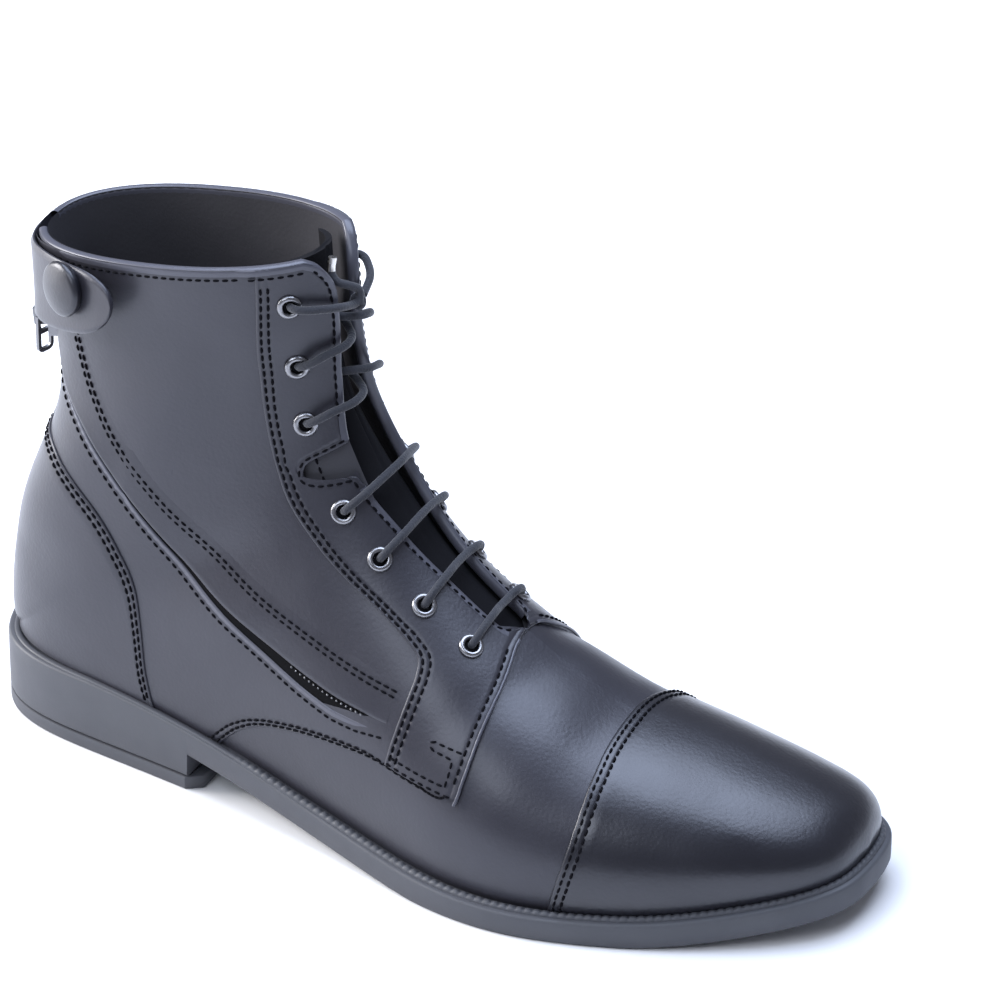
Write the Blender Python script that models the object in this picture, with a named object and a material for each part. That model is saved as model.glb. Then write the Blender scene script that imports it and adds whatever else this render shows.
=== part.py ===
"""Right jodhpur boot: a black lace-up ankle boot with a side zip, a welted rubber sole and a back strap.

Tables and sizes are in millimetres, and objects are made in metres.
The toe points to +X, the outer (lateral) side to -Y, and the sole stands on z = 0.
"""
import math

import bmesh
import bpy
import numpy as np
from mathutils import Matrix, Vector

MM = 0.001

# Driving sizes
FIT_GAP = 0.3
WALL = 2.0
OVERLAY_LOW = 0.3
OVERLAY_HIGH = 1.4
OVERLAY_RISE = 0.8
SOLE_THICKNESS = 9.2
HEEL_BREAST_X = 86.0
TOP_LIFT_HEIGHT = 5.0
HEEL_SEAT = 26.6
ARCH_RISE = 5.0
WELT_INNER = 2.6
WELT_OUTER = 4.4
WELT_HEIGHT = 2.0
WELT_SHOULDER = 0.6
INSOLE_INSET = 3.2
INSOLE_RISE = 0.6
INSOLE_THICKNESS = 2.0
TONGUE_THICKNESS = 2.0
LACE_DIAMETER = 2.8
EYELET_RADIUS = 4.0
EYELET_HOLE = 2.1
EYELET_CROWN = 3.0
EYELET_UNDERCUT = 0.1
EYELET_RISE = 0.95
EYELET_SEGMENTS = 8
EYELET_CUT = 3.0
SLIT_HALF_WIDTH = 2.4
BUTTON_RADIUS = 8.8
BUTTON_HEIGHT = 4.2
BUTTON_SEAT = 0.6
STRAP_THICKNESS = 2.0
# Where the first corner of a turned piece lies, as a share of one segment
TURNED_START = 0.8
# Radius at the closed ends of a turned piece
POLE_RADIUS = 0.01

# The last, as a fan of straight section lines seen from the side. Each line runs from the foot (the sole's
# feather edge, or higher up the back seam) to the ridge (vamp, instep and front of the shaft).
# Columns: foot x, foot z, ridge x, ridge z, centre y, half width lateral and medial, half width at the foot
# lateral and medial, place of the widest point (0 foot, 1 ridge), roundness lateral, medial and below.
SECTION_COLUMNS = (
    "foot_x", "foot_z", "ridge_x", "ridge_z", "centre_y", "lateral", "medial",
    "foot_lateral", "foot_medial", "belly", "lateral_power", "medial_power", "lower_power",
)
SECTIONS = np.array([
    (300.0, 17.5, 301.0, 21.5, 9.0, 0.0, 0.0, 0.0, 0.0, 0.30, 2.2, 2.0, 2.0),
    (299.0, 17.4, 300.0, 25.0, 9.0, 12.0, 11.0, 11.5, 10.5, 0.30, 2.3, 2.0, 2.0),
    (295.0, 16.6, 297.0, 29.5, 8.5, 20.5, 19.5, 19.5, 18.5, 0.28, 2.3, 1.9, 2.0),
    (287.0, 15.0, 290.0, 34.0, 7.5, 28.0, 27.0, 26.5, 25.5, 0.26, 2.3, 1.9, 2.0),
    (273.0, 12.6, 276.0, 39.0, 5.5, 36.0, 33.0, 34.5, 31.5, 0.24, 2.3, 1.9, 2.0),
    (252.0, 9.8, 255.0, 45.5, 3.0, 45.0, 38.0, 43.5, 36.5, 0.22, 2.2, 1.9, 2.0),
    (230.0, 8.6, 231.0, 52.8, 1.0, 51.5, 40.0, 50.0, 38.5, 0.22, 2.1, 1.9, 2.0),
    (208.0, 8.4, 207.0, 62.3, -0.5, 55.0, 40.0, 53.5, 38.0, 0.22, 2.05, 1.9, 2.0),
    (184.0, 8.9, 186.0, 73.5, -0.5, 54.5, 37.0, 52.5, 34.5, 0.22, 2.0, 1.9, 2.0),
    (158.0, 10.8, 170.0, 84.5, 0.0, 49.0, 33.5, 46.5, 29.0, 0.26, 2.0, 1.9, 2.0),
    (128.0, 15.0, 157.0, 95.0, 1.0, 43.5, 32.0, 40.0, 25.0, 0.32, 2.0, 2.0, 2.0),
    (96.0, 20.8, 147.5, 106.0, 2.0, 38.5, 32.5, 35.0, 25.0, 0.36, 2.0, 2.0, 2.0),
    (62.0, 25.5, 140.0, 118.0, 2.5, 34.5, 33.0, 31.0, 27.0, 0.38, 2.0, 2.0, 2.1),
    (32.0, 27.3, 134.0, 130.0, 3.0, 32.0, 32.0, 26.5, 25.0, 0.40, 2.0, 2.0, 2.2),
    (13.0, 27.8, 130.0, 140.0, 3.0, 31.0, 31.0, 15.5, 15.0, 0.42, 2.0, 2.0, 2.3),
    (7.0, 28.4, 127.5, 148.5, 3.0, 30.5, 30.5, 0.0, 0.0, 0.44, 2.0, 2.0, 2.4),
    (6.8, 46.0, 126.0, 156.5, 3.0, 29.5, 29.5, 0.0, 0.0, 0.45, 2.0, 2.0, 2.4),
    (11.0, 73.0, 125.0, 164.5, 3.0, 28.5, 28.5, 0.0, 0.0, 0.46, 2.0, 2.0, 2.4),
    (19.5, 97.0, 124.3, 171.5, 3.0, 28.0, 28.0, 0.0, 0.0, 0.47, 2.1, 2.1, 2.4),
    (26.0, 121.0, 123.8, 178.0, 3.0, 27.5, 27.5, 0.0, 0.0, 0.48, 2.1, 2.1, 2.4),
    (25.0, 148.0, 123.3, 184.0, 3.0, 27.5, 27.5, 0.0, 0.0, 0.49, 2.1, 2.1, 2.4),
    (19.5, 174.0, 123.0, 190.0, 3.0, 28.0, 28.0, 0.0, 0.0, 0.50, 2.1, 2.1, 2.4),
])
# Sections and places around at which the upper's own mesh has points
UPPER_ROWS = np.array([
    0.0, 0.2, 0.5, 1.0, 1.7, 2.5, 3.4, 4.4, 5.4, 6.25, 7.0, 7.5, 7.88, 7.95, 8.1, 8.4, 8.9, 9.6, 10.4,
    11.2, 12.0, 12.75, 13.5, 14.0, 14.4, 14.75, 14.92, 15.0, 15.7, 16.4, 17.2, 18.0, 18.75, 19.5, 20.25,
    20.6, 21.0,
])
UPPER_COLUMNS = 10
HEEL_SECTION = 15
COLLAR_SECTION = len(SECTIONS) - 1
BELLY_AROUND = 0.4
LATERAL = -1
MEDIAL = 1

# Edge of the throat. Columns: section (a row of the fan, with fractions) and around (0 foot, 1 ridge).
FACING_EDGE = (
    (7.88, 1.0), (7.95, 0.965), (8.1, 0.945), (8.4, 0.938), (9.5, 0.923), (10.7, 0.893), (12.0, 0.857),
    (13.1, 0.866), (14.0, 0.886), (15.0, 0.905), (17.0, 0.922), (18.5, 0.922), (19.5, 0.905),
    (20.3, 0.868), (20.7, 0.84), (21.0, 0.80),
)
# Seams seen from the side. Columns: x and z.
EYESTAY_REAR = (
    (104.0, 196.0), (104.2, 184.0), (104.5, 152.0), (106.6, 134.5), (110.3, 120.0), (116.0, 108.2),
    (126.0, 98.2), (137.0, 90.2), (150.5, 82.6), (161.0, 76.2), (165.8, 72.8), (167.4, 69.0), (167.0, 62.0),
    (163.6, 41.0),
)
EYESTAY_FRONT = (
    (172.0, 39.8), (187.5, 38.0), (190.6, 41.5), (191.7, 50.0), (191.8, 62.0), (191.2, 67.0), (188.6, 71.5),
    (186.5, 74.5),
)
# Way back to the top, in the air in front of the throat
EYESTAY_AIR = ((187.5, 86.5), (165.0, 110.0), (140.0, 216.0))
COUNTER_EDGE = (
    (20.0, 107.0), (30.3, 103.8), (36.0, 100.2), (43.0, 95.0), (51.5, 87.8), (59.0, 78.0), (64.8, 66.0),
    (67.4, 52.0), (68.8, 38.0), (71.4, 24.0),
)
TOE_CAP_EDGE = (
    (232.6, 54.0), (232.4, 46.0), (231.8, 38.0), (230.6, 30.0), (228.8, 22.0), (226.4, 14.0), (224.6, 8.0),
)
ZIP_EDGE = (
    (29.5, 150.0), (29.8, 140.0), (34.3, 127.5), (43.5, 118.3), (52.0, 109.3), (61.5, 99.6), (71.0, 90.8),
    (81.0, 82.3), (95.2, 73.2), (110.0, 66.8), (125.0, 61.3), (140.0, 57.2), (155.0, 54.6), (162.0, 53.7),
)
FLAP_FRONT = (
    (41.5, 150.0), (46.0, 135.5), (52.0, 124.8), (58.5, 115.8), (67.0, 106.6), (79.0, 96.2), (93.5, 87.0),
    (109.0, 79.0), (128.0, 72.0), (148.0, 66.4), (163.5, 63.2),
)
# Cut in the front edge of each facing, so that the ankle can bend.
FLEX_NOTCH = (
    (145.0, 128.5), (131.0, 129.0), (129.4, 127.0), (125.0, 124.3), (120.4, 121.4), (119.0, 118.8),
    (119.8, 116.3), (123.5, 115.5), (129.0, 116.4), (133.3, 117.2), (136.0, 114.6), (140.0, 113.5),
    (150.0, 113.5),
)

# The zip's opening, under the flap: from the collar down the back and forward along the side.
# Columns: section and around.
ZIP_LINE = (
    (21.3, 0.03), (20.4, 0.035), (19.85, 0.045), (19.5, 0.09), (19.1, 0.185), (18.32, 0.28), (17.24, 0.361),
    (16.18, 0.415), (14.85, 0.472), (13.31, 0.485), (12.3, 0.481), (11.55, 0.486), (10.85, 0.498),
    (10.16, 0.524), (9.6, 0.555),
)
# Way that the back of the shaft runs on past the collar, for each section number
PAST_COLLAR = np.array([-5.0, 0.0, 26.0])
EYELETS = (
    (19.32, 0.742), (16.66, 0.776), (14.47, 0.783), (11.92, 0.776), (10.69, 0.796), (9.45, 0.823),
    (8.4, 0.846),
)
MEDIAL_EYELET_SHIFT = 0.02

# Tongue. Columns: section, where its side edge lies around, and how deep its top face lies under the last.
TONGUE = ((7.3, 0.86, 3.2), (9.0, 0.77, 3.2), (10.5, 0.75, 3.6), (13.5, 0.74, 6.2), (20.6, 0.72, 6.2))

# Sections at which the toe cap and the counter reach the sole
TOE_CAP_FOOT = 6.25
COUNTER_FOOT = 11.75
# First and last section of the wall that each overlay is cut from
COUNTER_WALL = (11.2, 18.75)
EYESTAY_WALL = (7.5, 21.0)
FLAP_WALL = (8.4, 20.25)

# Cutting forms reach this far to each side, and an eyestay's form stops short of the middle of the throat.
CUT_REACH = 90.0
THROAT_LATERAL = -2.5
THROAT_MEDIAL = 1.5

# The waist's hollow starts here and deepens over this length.
WAIST_FRONT_X = 165.0
WAIST_LENGTH = 45.0

# Ledge of the sole outside the upper. Columns: x and width.
SOLE_LEDGE = ((0.0, 5.4), (25.0, 4.4), (60.0, 3.6), (140.0, 4.4), (200.0, 5.3), (300.0, 5.2))

# Forefoot ribs
RIB_COUNT = 16
RIB_FIRST_X = 165.0
RIB_PITCH = 6.1
RIB_GROOVE_WIDTH = 2.6
RIB_DEPTH = 1.5
RIB_BORDER = 9.5
RIB_SLANT = math.radians(7.0)

# Back strap. It lies between two sections of the shaft and runs around the back seam.
STRAP_LOW_SECTION = 19.93
STRAP_HIGH_SECTION = 20.93
STRAP_MEDIAL_AROUND = 0.33
STRAP_LATERAL_AROUND = 0.36
STRAP_END_LENGTH = 0.085
STRAP_END_POWER = 2.6
STRAP_END_BLUNT = 0.06
STRAP_RINGS = 27
# How far the strap stands off the shaft. Columns: around (medial below 0), distance, and lean per section.
STRAP_STANDOFF = (
    (-0.33, -0.1, 0.0), (-0.22, 1.4, 1.0), (-0.1, 3.4, 3.5), (0.1, 3.8, 4.0), (0.18, 3.6, 4.0),
    (0.25, 4.6, 4.0), (0.36, 7.6, 4.0),
)
BUTTON_PLACE = (20.6, 0.268)

# Zip slider and pull tab, on the back of the shaft
SLIDER_PLACE = (19.76, 0.045)
SLIDER_SIZE = (8.5, 10.0, 4.0)
BRIDGE_WIDTH = 1.8
BRIDGE_HEIGHT = 5.6
BRIDGE_LENGTH = 5.6
BRIDGE_BAR = 1.0
PULL_TURN = math.radians(-30.0)
PULL_WIDTH = 6.4
PULL_LENGTH = 12.6
PULL_BAR = 1.1
PULL_THICKNESS = 1.2
PULL_CORNER = 1.9
# Openings of the pull tab below its hinge line: the bridge passes through the first.
# Columns: top and bottom.
PULL_OPENINGS = ((0.6, 4.6), (5.9, 11.4))
PULL_OPENING_WIDTH = 4.0

# Lace. Strand rows are section, around (over 1 on the medial side) and height of the lace's middle.
LACE_OVER_EYELET = 4.8
LACE_OVER_EDGE = 4.0
LACE_OVER_THROAT = 1.9
BAR_PAIRS = (4, 5, 6, 7)
LACE_STRANDS = {
    "lace_cross_3_lateral": (
        (14.47, 0.783, 4.8), (14.35, 0.85, 4.8), (14.15, 0.91, 4.0), (14.1, 0.965, 1.6), (14.3, 1.0, -1.6),
        (14.6, 1.02, -4.0),
    ),
    "lace_cross_3_medial": (
        (14.47, 1.197, 4.8), (14.5, 1.14, 4.8), (14.6, 1.095, 4.0), (14.7, 1.03, 2.3), (14.85, 0.98, -1.2),
        (15.0, 0.93, -4.0),
    ),
    "lace_cross_2_lateral": (
        (16.66, 0.776, 4.8), (16.6, 0.85, 4.8), (16.45, 0.915, 4.0), (16.4, 0.965, 1.6), (16.6, 1.0, -1.6),
        (16.9, 1.02, -4.0),
    ),
    "lace_cross_2_medial": (
        (16.66, 1.204, 4.8), (16.75, 1.14, 4.8), (16.85, 1.085, 4.0), (16.95, 1.03, 2.3),
        (17.1, 0.98, -1.2), (17.25, 0.935, -4.0),
    ),
    "lace_cross_1_lateral": (
        (19.32, 0.742, 4.8), (18.95, 0.81, 4.9), (18.45, 0.89, 4.6), (17.95, 0.966, 3.4),
    ),
    "lace_cross_1_medial": (
        (19.32, 1.238, 4.8), (18.95, 1.17, 4.9), (18.5, 1.11, 4.6), (17.95, 1.036, 3.4),
    ),
}
KNOT_PLACE = (17.85, 1.0, 3.2)
KNOT_RADIUS = 3.0

# Free end of the lace, from the knot up through the throat. Rows are x, y, z.
LACE_END = (
    (127.6, 2.4, 175.1), (125.6, -0.1, 176.8), (122.4, -1.2, 178.2), (120.2, -0.6, 181.0),
    (120.2, 0.4, 185.6),
)

# Colours and finish
BLACK_LEATHER = ((0.030, 0.031, 0.036), 0.42, 0.0)
DARK_LINING = ((0.018, 0.017, 0.018), 0.7, 0.0)
BLACK_RUBBER = ((0.045, 0.046, 0.052), 0.6, 0.0)
GUNMETAL = ((0.12, 0.12, 0.13), 0.3, 1.0)
BLACK_CORD = ((0.022, 0.023, 0.027), 0.8, 0.0)


def column(rows, name):
    """Read one named column from section rows."""
    return rows[..., SECTION_COLUMNS.index(name)]


def spline_bends(values):
    """Second differences of the natural cubic spline through evenly spaced rows."""
    count = len(values)
    matrix = np.eye(count)
    right_side = np.zeros_like(values)
    for row in range(1, count - 1):
        matrix[row, row - 1:row + 2] = (1.0, 4.0, 1.0)
        right_side[row] = 6.0 * (values[row - 1] - 2.0 * values[row] + values[row + 1])
    return np.linalg.solve(matrix, right_side)


SECTION_BENDS = spline_bends(SECTIONS)
FOOT_COLUMNS = np.array([name.startswith("foot_") and name[-1] == "l" for name in SECTION_COLUMNS])


def section_row(section):
    """All columns of the fan at a section number, which may be a fraction."""
    section = np.clip(np.asarray(section, float), 0.0, COLLAR_SECTION)
    low = np.minimum(section.astype(int), COLLAR_SECTION - 1)
    part = (section - low)[..., None]
    rest = 1.0 - part
    straight = rest * SECTIONS[low] + part * SECTIONS[low + 1]
    bend = (rest ** 3 - rest) * SECTION_BENDS[low] + (part ** 3 - part) * SECTION_BENDS[low + 1]
    rows = straight + bend / 6.0
    shaft = (section >= HEEL_SECTION)[..., None]
    return np.where(shaft & FOOT_COLUMNS, 0.0, rows)


def along_line(around, rows):
    """Turn an even spread around the section (0 foot, 1 ridge) into the place on its straight line."""
    belly = column(rows, "belly")
    below = np.cos(np.clip(around / BELLY_AROUND, 0.0, 1.0) * np.pi / 2)
    above = np.sin(np.clip((around - BELLY_AROUND) / (1.0 - BELLY_AROUND), 0.0, 1.0) * np.pi / 2)
    below = np.clip(below, 0.0, 1.0) ** (2.0 / column(rows, "lower_power"))
    above = above ** (2.0 / column(rows, "lateral_power"))
    return belly - belly * below + (1.0 - belly) * above


def half_width(place, rows, side):
    """Half width of the last at a place on the section line."""
    name = "lateral" if side == LATERAL else "medial"
    width = np.maximum(column(rows, name), 1e-6)
    foot = np.clip(column(rows, "foot_" + name), 0.0, width)
    belly = column(rows, "belly")
    power = column(rows, name + "_power")
    lower = column(rows, "lower_power")
    above = np.clip((place - belly) / (1.0 - belly), 0.0, 1.0)
    below = np.clip((belly - place) / belly, 0.0, 1.0)
    pinch = 1.0 - (foot / width) ** lower
    upper_arc = np.clip(1.0 - above ** power, 0.0, 1.0) ** (1.0 / power)
    lower_arc = np.clip(1.0 - pinch * below ** lower, 0.0, 1.0) ** (1.0 / lower)
    return width * upper_arc * lower_arc


def last_point(section, around, side):
    """Point on the last's surface, on the lateral or medial side."""
    section, around = np.broadcast_arrays(np.asarray(section, float), np.asarray(around, float))
    rows = section_row(section)
    place = along_line(around, rows)
    x = column(rows, "foot_x") * (1.0 - place) + column(rows, "ridge_x") * place
    z = column(rows, "foot_z") * (1.0 - place) + column(rows, "ridge_z") * place
    y = column(rows, "centre_y") + side * half_width(place, rows, side)
    return np.stack([x, y, z], -1)


def signed_point(section, around):
    """Point on the last. Around runs from 0 to 1 on the lateral side; below 0 and above 1 it is medial."""
    side = LATERAL if 0.0 <= around <= 1.0 else MEDIAL
    folded = 2.0 - around if around > 1.0 else abs(around)
    return last_point(section, folded, side)


def last_normal(section, around):
    """Outward unit normal at a signed place around the shaft or foot."""
    section_step = 0.03
    around_step = 0.012
    along = signed_point(section + section_step, around) - signed_point(section - section_step, around)
    across = signed_point(section, around + around_step) - signed_point(section, around - around_step)
    normal = np.cross(along, across)
    normal /= np.linalg.norm(normal)
    outward = signed_point(section, around) - last_axis(section)
    return normal if normal @ outward > 0.0 else -normal


def last_axis(section):
    """Middle of a section, inside the boot."""
    rows = section_row(section)
    x = (column(rows, "foot_x") + column(rows, "ridge_x")) / 2
    z = (column(rows, "foot_z") + column(rows, "ridge_z")) / 2
    return np.array([x, column(rows, "centre_y"), z])


def smooth_path(points, per_span=6):
    """Dense points on a Catmull-Rom curve through a short table."""
    points = np.asarray(points, float)
    first = 2.0 * points[0] - points[1]
    last = 2.0 * points[-1] - points[-2]
    padded = np.vstack([first, points, last])
    dense = []
    for index in range(1, len(padded) - 2):
        p0, p1, p2, p3 = padded[index - 1:index + 3]
        for step in np.linspace(0.0, 1.0, per_span, endpoint=False):
            linear = 2.0 * p1 + (p2 - p0) * step
            square = (2.0 * p0 - 5.0 * p1 + 4.0 * p2 - p3) * step ** 2
            cube = (3.0 * p1 - p0 - 3.0 * p2 + p3) * step ** 3
            dense.append((linear + square + cube) / 2)
    dense.append(points[-1])
    return np.array(dense)


def facing_around(section):
    """How far around the upper reaches: the ridge on the vamp, the facing's edge beside the throat."""
    path = np.array(FACING_EDGE)
    return np.interp(section, path[:, 0], path[:, 1], left=1.0)


def material(name, look):
    """Principled material from a colour, roughness and metallic value."""
    colour, roughness, metallic = look
    made = bpy.data.materials.new(name)
    made.use_nodes = True
    shader = made.node_tree.nodes["Principled BSDF"]
    shader.inputs["Base Color"].default_value = (*colour, 1.0)
    shader.inputs["Roughness"].default_value = roughness
    shader.inputs["Metallic"].default_value = metallic
    made.diffuse_color = (*colour, 1.0)
    return made


def mesh_object(name, bm, look, smooth=True):
    """Put a bmesh into a named object with its own material."""
    mesh = bpy.data.meshes.new(name)
    bm.to_mesh(mesh)
    bm.free()
    made = bpy.data.objects.new(name, mesh)
    bpy.context.collection.objects.link(made)
    made.parent = FRAME
    mesh.materials.append(material(name, look))
    if smooth:
        mesh.shade_smooth()
        mesh.set_sharp_from_angle(angle=math.radians(40))
    return made


def bmesh_from(points, faces):
    """Welded bmesh from points in millimetres."""
    bm = bmesh.new()
    vertices = [bm.verts.new(Vector(point) * MM) for point in points]
    for face in faces:
        bm.faces.new([vertices[index] for index in face])
    bmesh.ops.remove_doubles(bm, verts=bm.verts[:], dist=1e-5)
    bmesh.ops.dissolve_degenerate(bm, edges=bm.edges[:], dist=1e-6)
    bm.normal_update()
    return bm


def face_outwards(bm):
    """Turn all faces of a closed form outwards."""
    bmesh.ops.recalc_face_normals(bm, faces=bm.faces[:])
    if bm.calc_volume(signed=True) < 0.0:
        bmesh.ops.reverse_faces(bm, faces=bm.faces[:])


def solid(name, points, faces, look, smooth=True):
    """Closed solid from points and faces, with its faces turned outwards."""
    bm = bmesh_from(points, faces)
    face_outwards(bm)
    return mesh_object(name, bm, look, smooth)


def thickened(points, faces, low, high):
    """Closed bmesh between two offsets of a surface, along its own normals."""
    surface = bmesh_from(points, faces)
    surface.verts.index_update()
    bm = bmesh.new()
    layers = []
    for offset in (low, high):
        layer = []
        for vertex in surface.verts:
            lift = vertex.normal * (vertex.calc_shell_factor() * offset * MM)
            layer.append(bm.verts.new(vertex.co + lift))
        layers.append(layer)
    inner, outer = layers
    for face in surface.faces:
        corners = [vertex.index for vertex in face.verts]
        bm.faces.new([outer[index] for index in corners])
        bm.faces.new([inner[index] for index in reversed(corners)])
    for edge in surface.edges:
        if edge.is_boundary:
            start, end = (vertex.index for vertex in edge.verts)
            bm.faces.new([inner[start], inner[end], outer[end], outer[start]])
    surface.free()
    face_outwards(bm)
    return bm


def grid_faces(rows, columns, start=0, flip=False):
    """Triangles of a grid whose points are listed row by row."""
    faces = []
    for row in range(rows - 1):
        for step in range(columns - 1):
            corner = start + row * columns + step
            across = corner + columns
            for face in ((corner, corner + 1, across), (corner + 1, across + 1, across)):
                faces.append(face[::-1] if flip else face)
    return faces


def upper_surface(sections, columns):
    """Both sides of the upper over a list of sections, open at the foot, collar and throat."""
    points = []
    faces = []
    for side in (LATERAL, MEDIAL):
        start = len(points)
        for section in sections:
            spread = np.linspace(0.0, 1.0, columns) * facing_around(section)
            points.extend(last_point(section, spread, side))
        faces.extend(grid_faces(len(sections), columns, start, flip=side == MEDIAL))
    return points, faces


def above_feather(first, last):
    """Side view of a line just above the upper's lower edge, between two sections."""
    rows = section_row(np.linspace(first, last, 12))
    return np.column_stack([column(rows, "foot_x"), column(rows, "foot_z") + OVERLAY_RISE])


def clear_of(edge, foot):
    """The part of a seam that lies well above its foot."""
    return edge[edge[:, 1] > foot[1] + OVERLAY_RISE]


def prism(name, outline, low_y, high_y):
    """Cutter: a side-view outline extruded across the boot."""
    count = len(outline)
    points = [(x, y, z) for y in (low_y, high_y) for x, z in outline]
    faces = [tuple(range(count)), tuple(range(2 * count - 1, count - 1, -1))]
    for index in range(count):
        following = (index + 1) % count
        faces.append((index, following, following + count, index + count))
    return as_cutter(solid(name, points, faces, BLACK_LEATHER, smooth=False))


def as_cutter(made):
    """Mark an object as a cutting form that is not part of the boot."""
    made.hide_render = True
    made.display_type = "WIRE"
    return made


def boolean(made, cutter, operation="DIFFERENCE"):
    """Cut or keep what a cutting form covers."""
    modifier = made.modifiers.new(operation.lower(), "BOOLEAN")
    modifier.operation = operation
    modifier.object = cutter
    modifier.solver = "EXACT"


def ribbon(name, path, half, low, high, look):
    """Bar of rectangular section laid along a seam on the lateral side."""
    points = []
    places = np.array([signed_point(section, around) for section, around in path])
    for index, (section, around) in enumerate(path):
        before = places[max(index - 1, 0)]
        after = places[min(index + 1, len(path) - 1)]
        normal = last_normal(min(section, COLLAR_SECTION - 0.05), around)
        across = np.cross(after - before, normal)
        across /= np.linalg.norm(across)
        beyond = max(section - COLLAR_SECTION, 0.0) * PAST_COLLAR
        centre = places[index] + beyond
        for shift, lift in ((-half, low), (half, low), (half, high), (-half, high)):
            points.append(centre + across * shift + normal * lift)
    return solid(name, points, tube_faces(len(path), 4), look, smooth=False)


def tube_faces(rings, corners):
    """Faces of a closed bar made of rings of points."""
    faces = [tuple(range(corners)), tuple(range((rings - 1) * corners, rings * corners))]
    for ring in range(rings - 1):
        for corner in range(corners):
            following = (corner + 1) % corners
            near = ring * corners
            far = near + corners
            faces.append((near + corner, near + following, far + following, far + corner))
    return faces


def round_tube(name, route, diameter, look, sides=6):
    """Tube with closed ends along a smooth route in millimetres."""
    route = np.asarray(route, float)
    points = []
    for index, centre in enumerate(route):
        before = route[max(index - 1, 0)]
        after = route[min(index + 1, len(route) - 1)]
        along = Vector(after - before).normalized()
        turn = along.to_track_quat("Z", "Y")
        for corner in range(sides):
            angle = 2.0 * math.pi * corner / sides
            arm = turn @ Vector((math.cos(angle), math.sin(angle), 0.0))
            points.append(Vector(centre) + arm * (diameter / 2))
    return solid(name, points, tube_faces(len(route), sides), look)


def turned(name, profile, place, normal, look, segments):
    """Ring or button turned about a surface normal. The profile holds (radius, height) rows."""
    turn = Vector(normal).to_track_quat("Z", "Y")
    points = []
    faces = []
    count = len(profile)
    for segment in range(segments):
        angle = 2.0 * math.pi * (segment + TURNED_START) / segments
        for radius, height in profile:
            arm = Vector((radius * math.cos(angle), radius * math.sin(angle), height))
            points.append(Vector(place) + turn @ arm)
    for segment in range(segments):
        following = (segment + 1) % segments
        for row in range(count):
            below = (row + 1) % count
            near, far = segment * count, following * count
            faces.append((near + row, far + row, far + below))
            faces.append((near + row, far + below, near + below))
    return solid(name, points, faces, look)


def sole_outline(offset, side, sections):
    """Plan of the upper's foot moved outwards by an offset that may change with x."""
    points = last_point(sections, 0.0, side)
    step = 0.02
    ahead = last_point(np.clip(sections + step, 0.0, HEEL_SECTION), 0.0, side)
    behind = last_point(np.clip(sections - step, 0.0, HEEL_SECTION), 0.0, side)
    tangent = (ahead - behind)[:, :2]
    tangent[0] = (0.0, side)
    tangent[-1] = (0.0, -side)
    tangent /= np.linalg.norm(tangent, axis=1)[:, None]
    outward = np.column_stack([tangent[:, 1], -tangent[:, 0]]) * side
    amount = offset(points[:, 0]) if callable(offset) else np.full(len(points), offset)
    return points[:, :2] + outward * amount[:, None]


def ledge_width(x):
    """Width of the sole's ledge at a place along the boot."""
    table = np.array(SOLE_LEDGE)
    return np.interp(x, table[:, 0], table[:, 1])


def feather_height(sections):
    """Height of the upper's lower edge."""
    return column(section_row(sections), "foot_z")


def sole_sections():
    """Sections of the sole from toe to heel, with the heel breast between two close ones."""
    rows = UPPER_ROWS[UPPER_ROWS <= HEEL_SECTION]
    foot_x = column(SECTIONS[:HEEL_SECTION + 1], "foot_x")
    breast = np.interp(-HEEL_BREAST_X, -foot_x, np.arange(HEEL_SECTION + 1.0))
    front = rows[rows < breast - 0.1]
    heel = rows[rows > breast + 0.1]
    return np.concatenate([front, [breast - 0.03, breast], heel]), len(front) + 1


def make_outsole():
    """Rubber sole: heel block, hollowed waist, flat ball, toe spring and forefoot ribs."""
    sections, heel_row = sole_sections()
    lateral = sole_outline(ledge_width, LATERAL, sections)
    medial = sole_outline(ledge_width, MEDIAL, sections)
    top = np.minimum(feather_height(sections), HEEL_SEAT) - FIT_GAP
    spread = np.array([0.0, 0.12, 0.3, 0.5, 0.7, 0.88, 1.0])
    upper_points = []
    lower_points = []
    for row in range(len(sections)):
        plan = lateral[row] * (1.0 - spread[:, None]) + medial[row] * spread[:, None]
        if row >= heel_row:
            bottom = np.full(len(spread), TOP_LIFT_HEIGHT + FIT_GAP)
        else:
            waist = np.clip((WAIST_FRONT_X - plan[:, 0]) / WAIST_LENGTH, 0.0, 1.0)
            arch = ARCH_RISE * waist * spread ** 1.5
            bottom = np.maximum(0.0, top[row] + FIT_GAP - SOLE_THICKNESS) + arch
        upper_points.extend(np.column_stack([plan, np.full(len(spread), top[row])]))
        lower_points.extend(np.column_stack([plan, bottom]))
    rows = len(sections)
    columns = len(spread)
    below = rows * columns
    faces = grid_faces(rows, columns) + grid_faces(rows, columns, below, flip=True)
    for row in range(rows - 1):
        for edge in (0, columns - 1):
            corner = row * columns + edge
            following = corner + columns
            faces.append((corner, following, following + below, corner + below))
    made = solid("outsole", upper_points + lower_points, faces, BLACK_RUBBER)
    boolean(made, make_rib_cutter())
    return made


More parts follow.
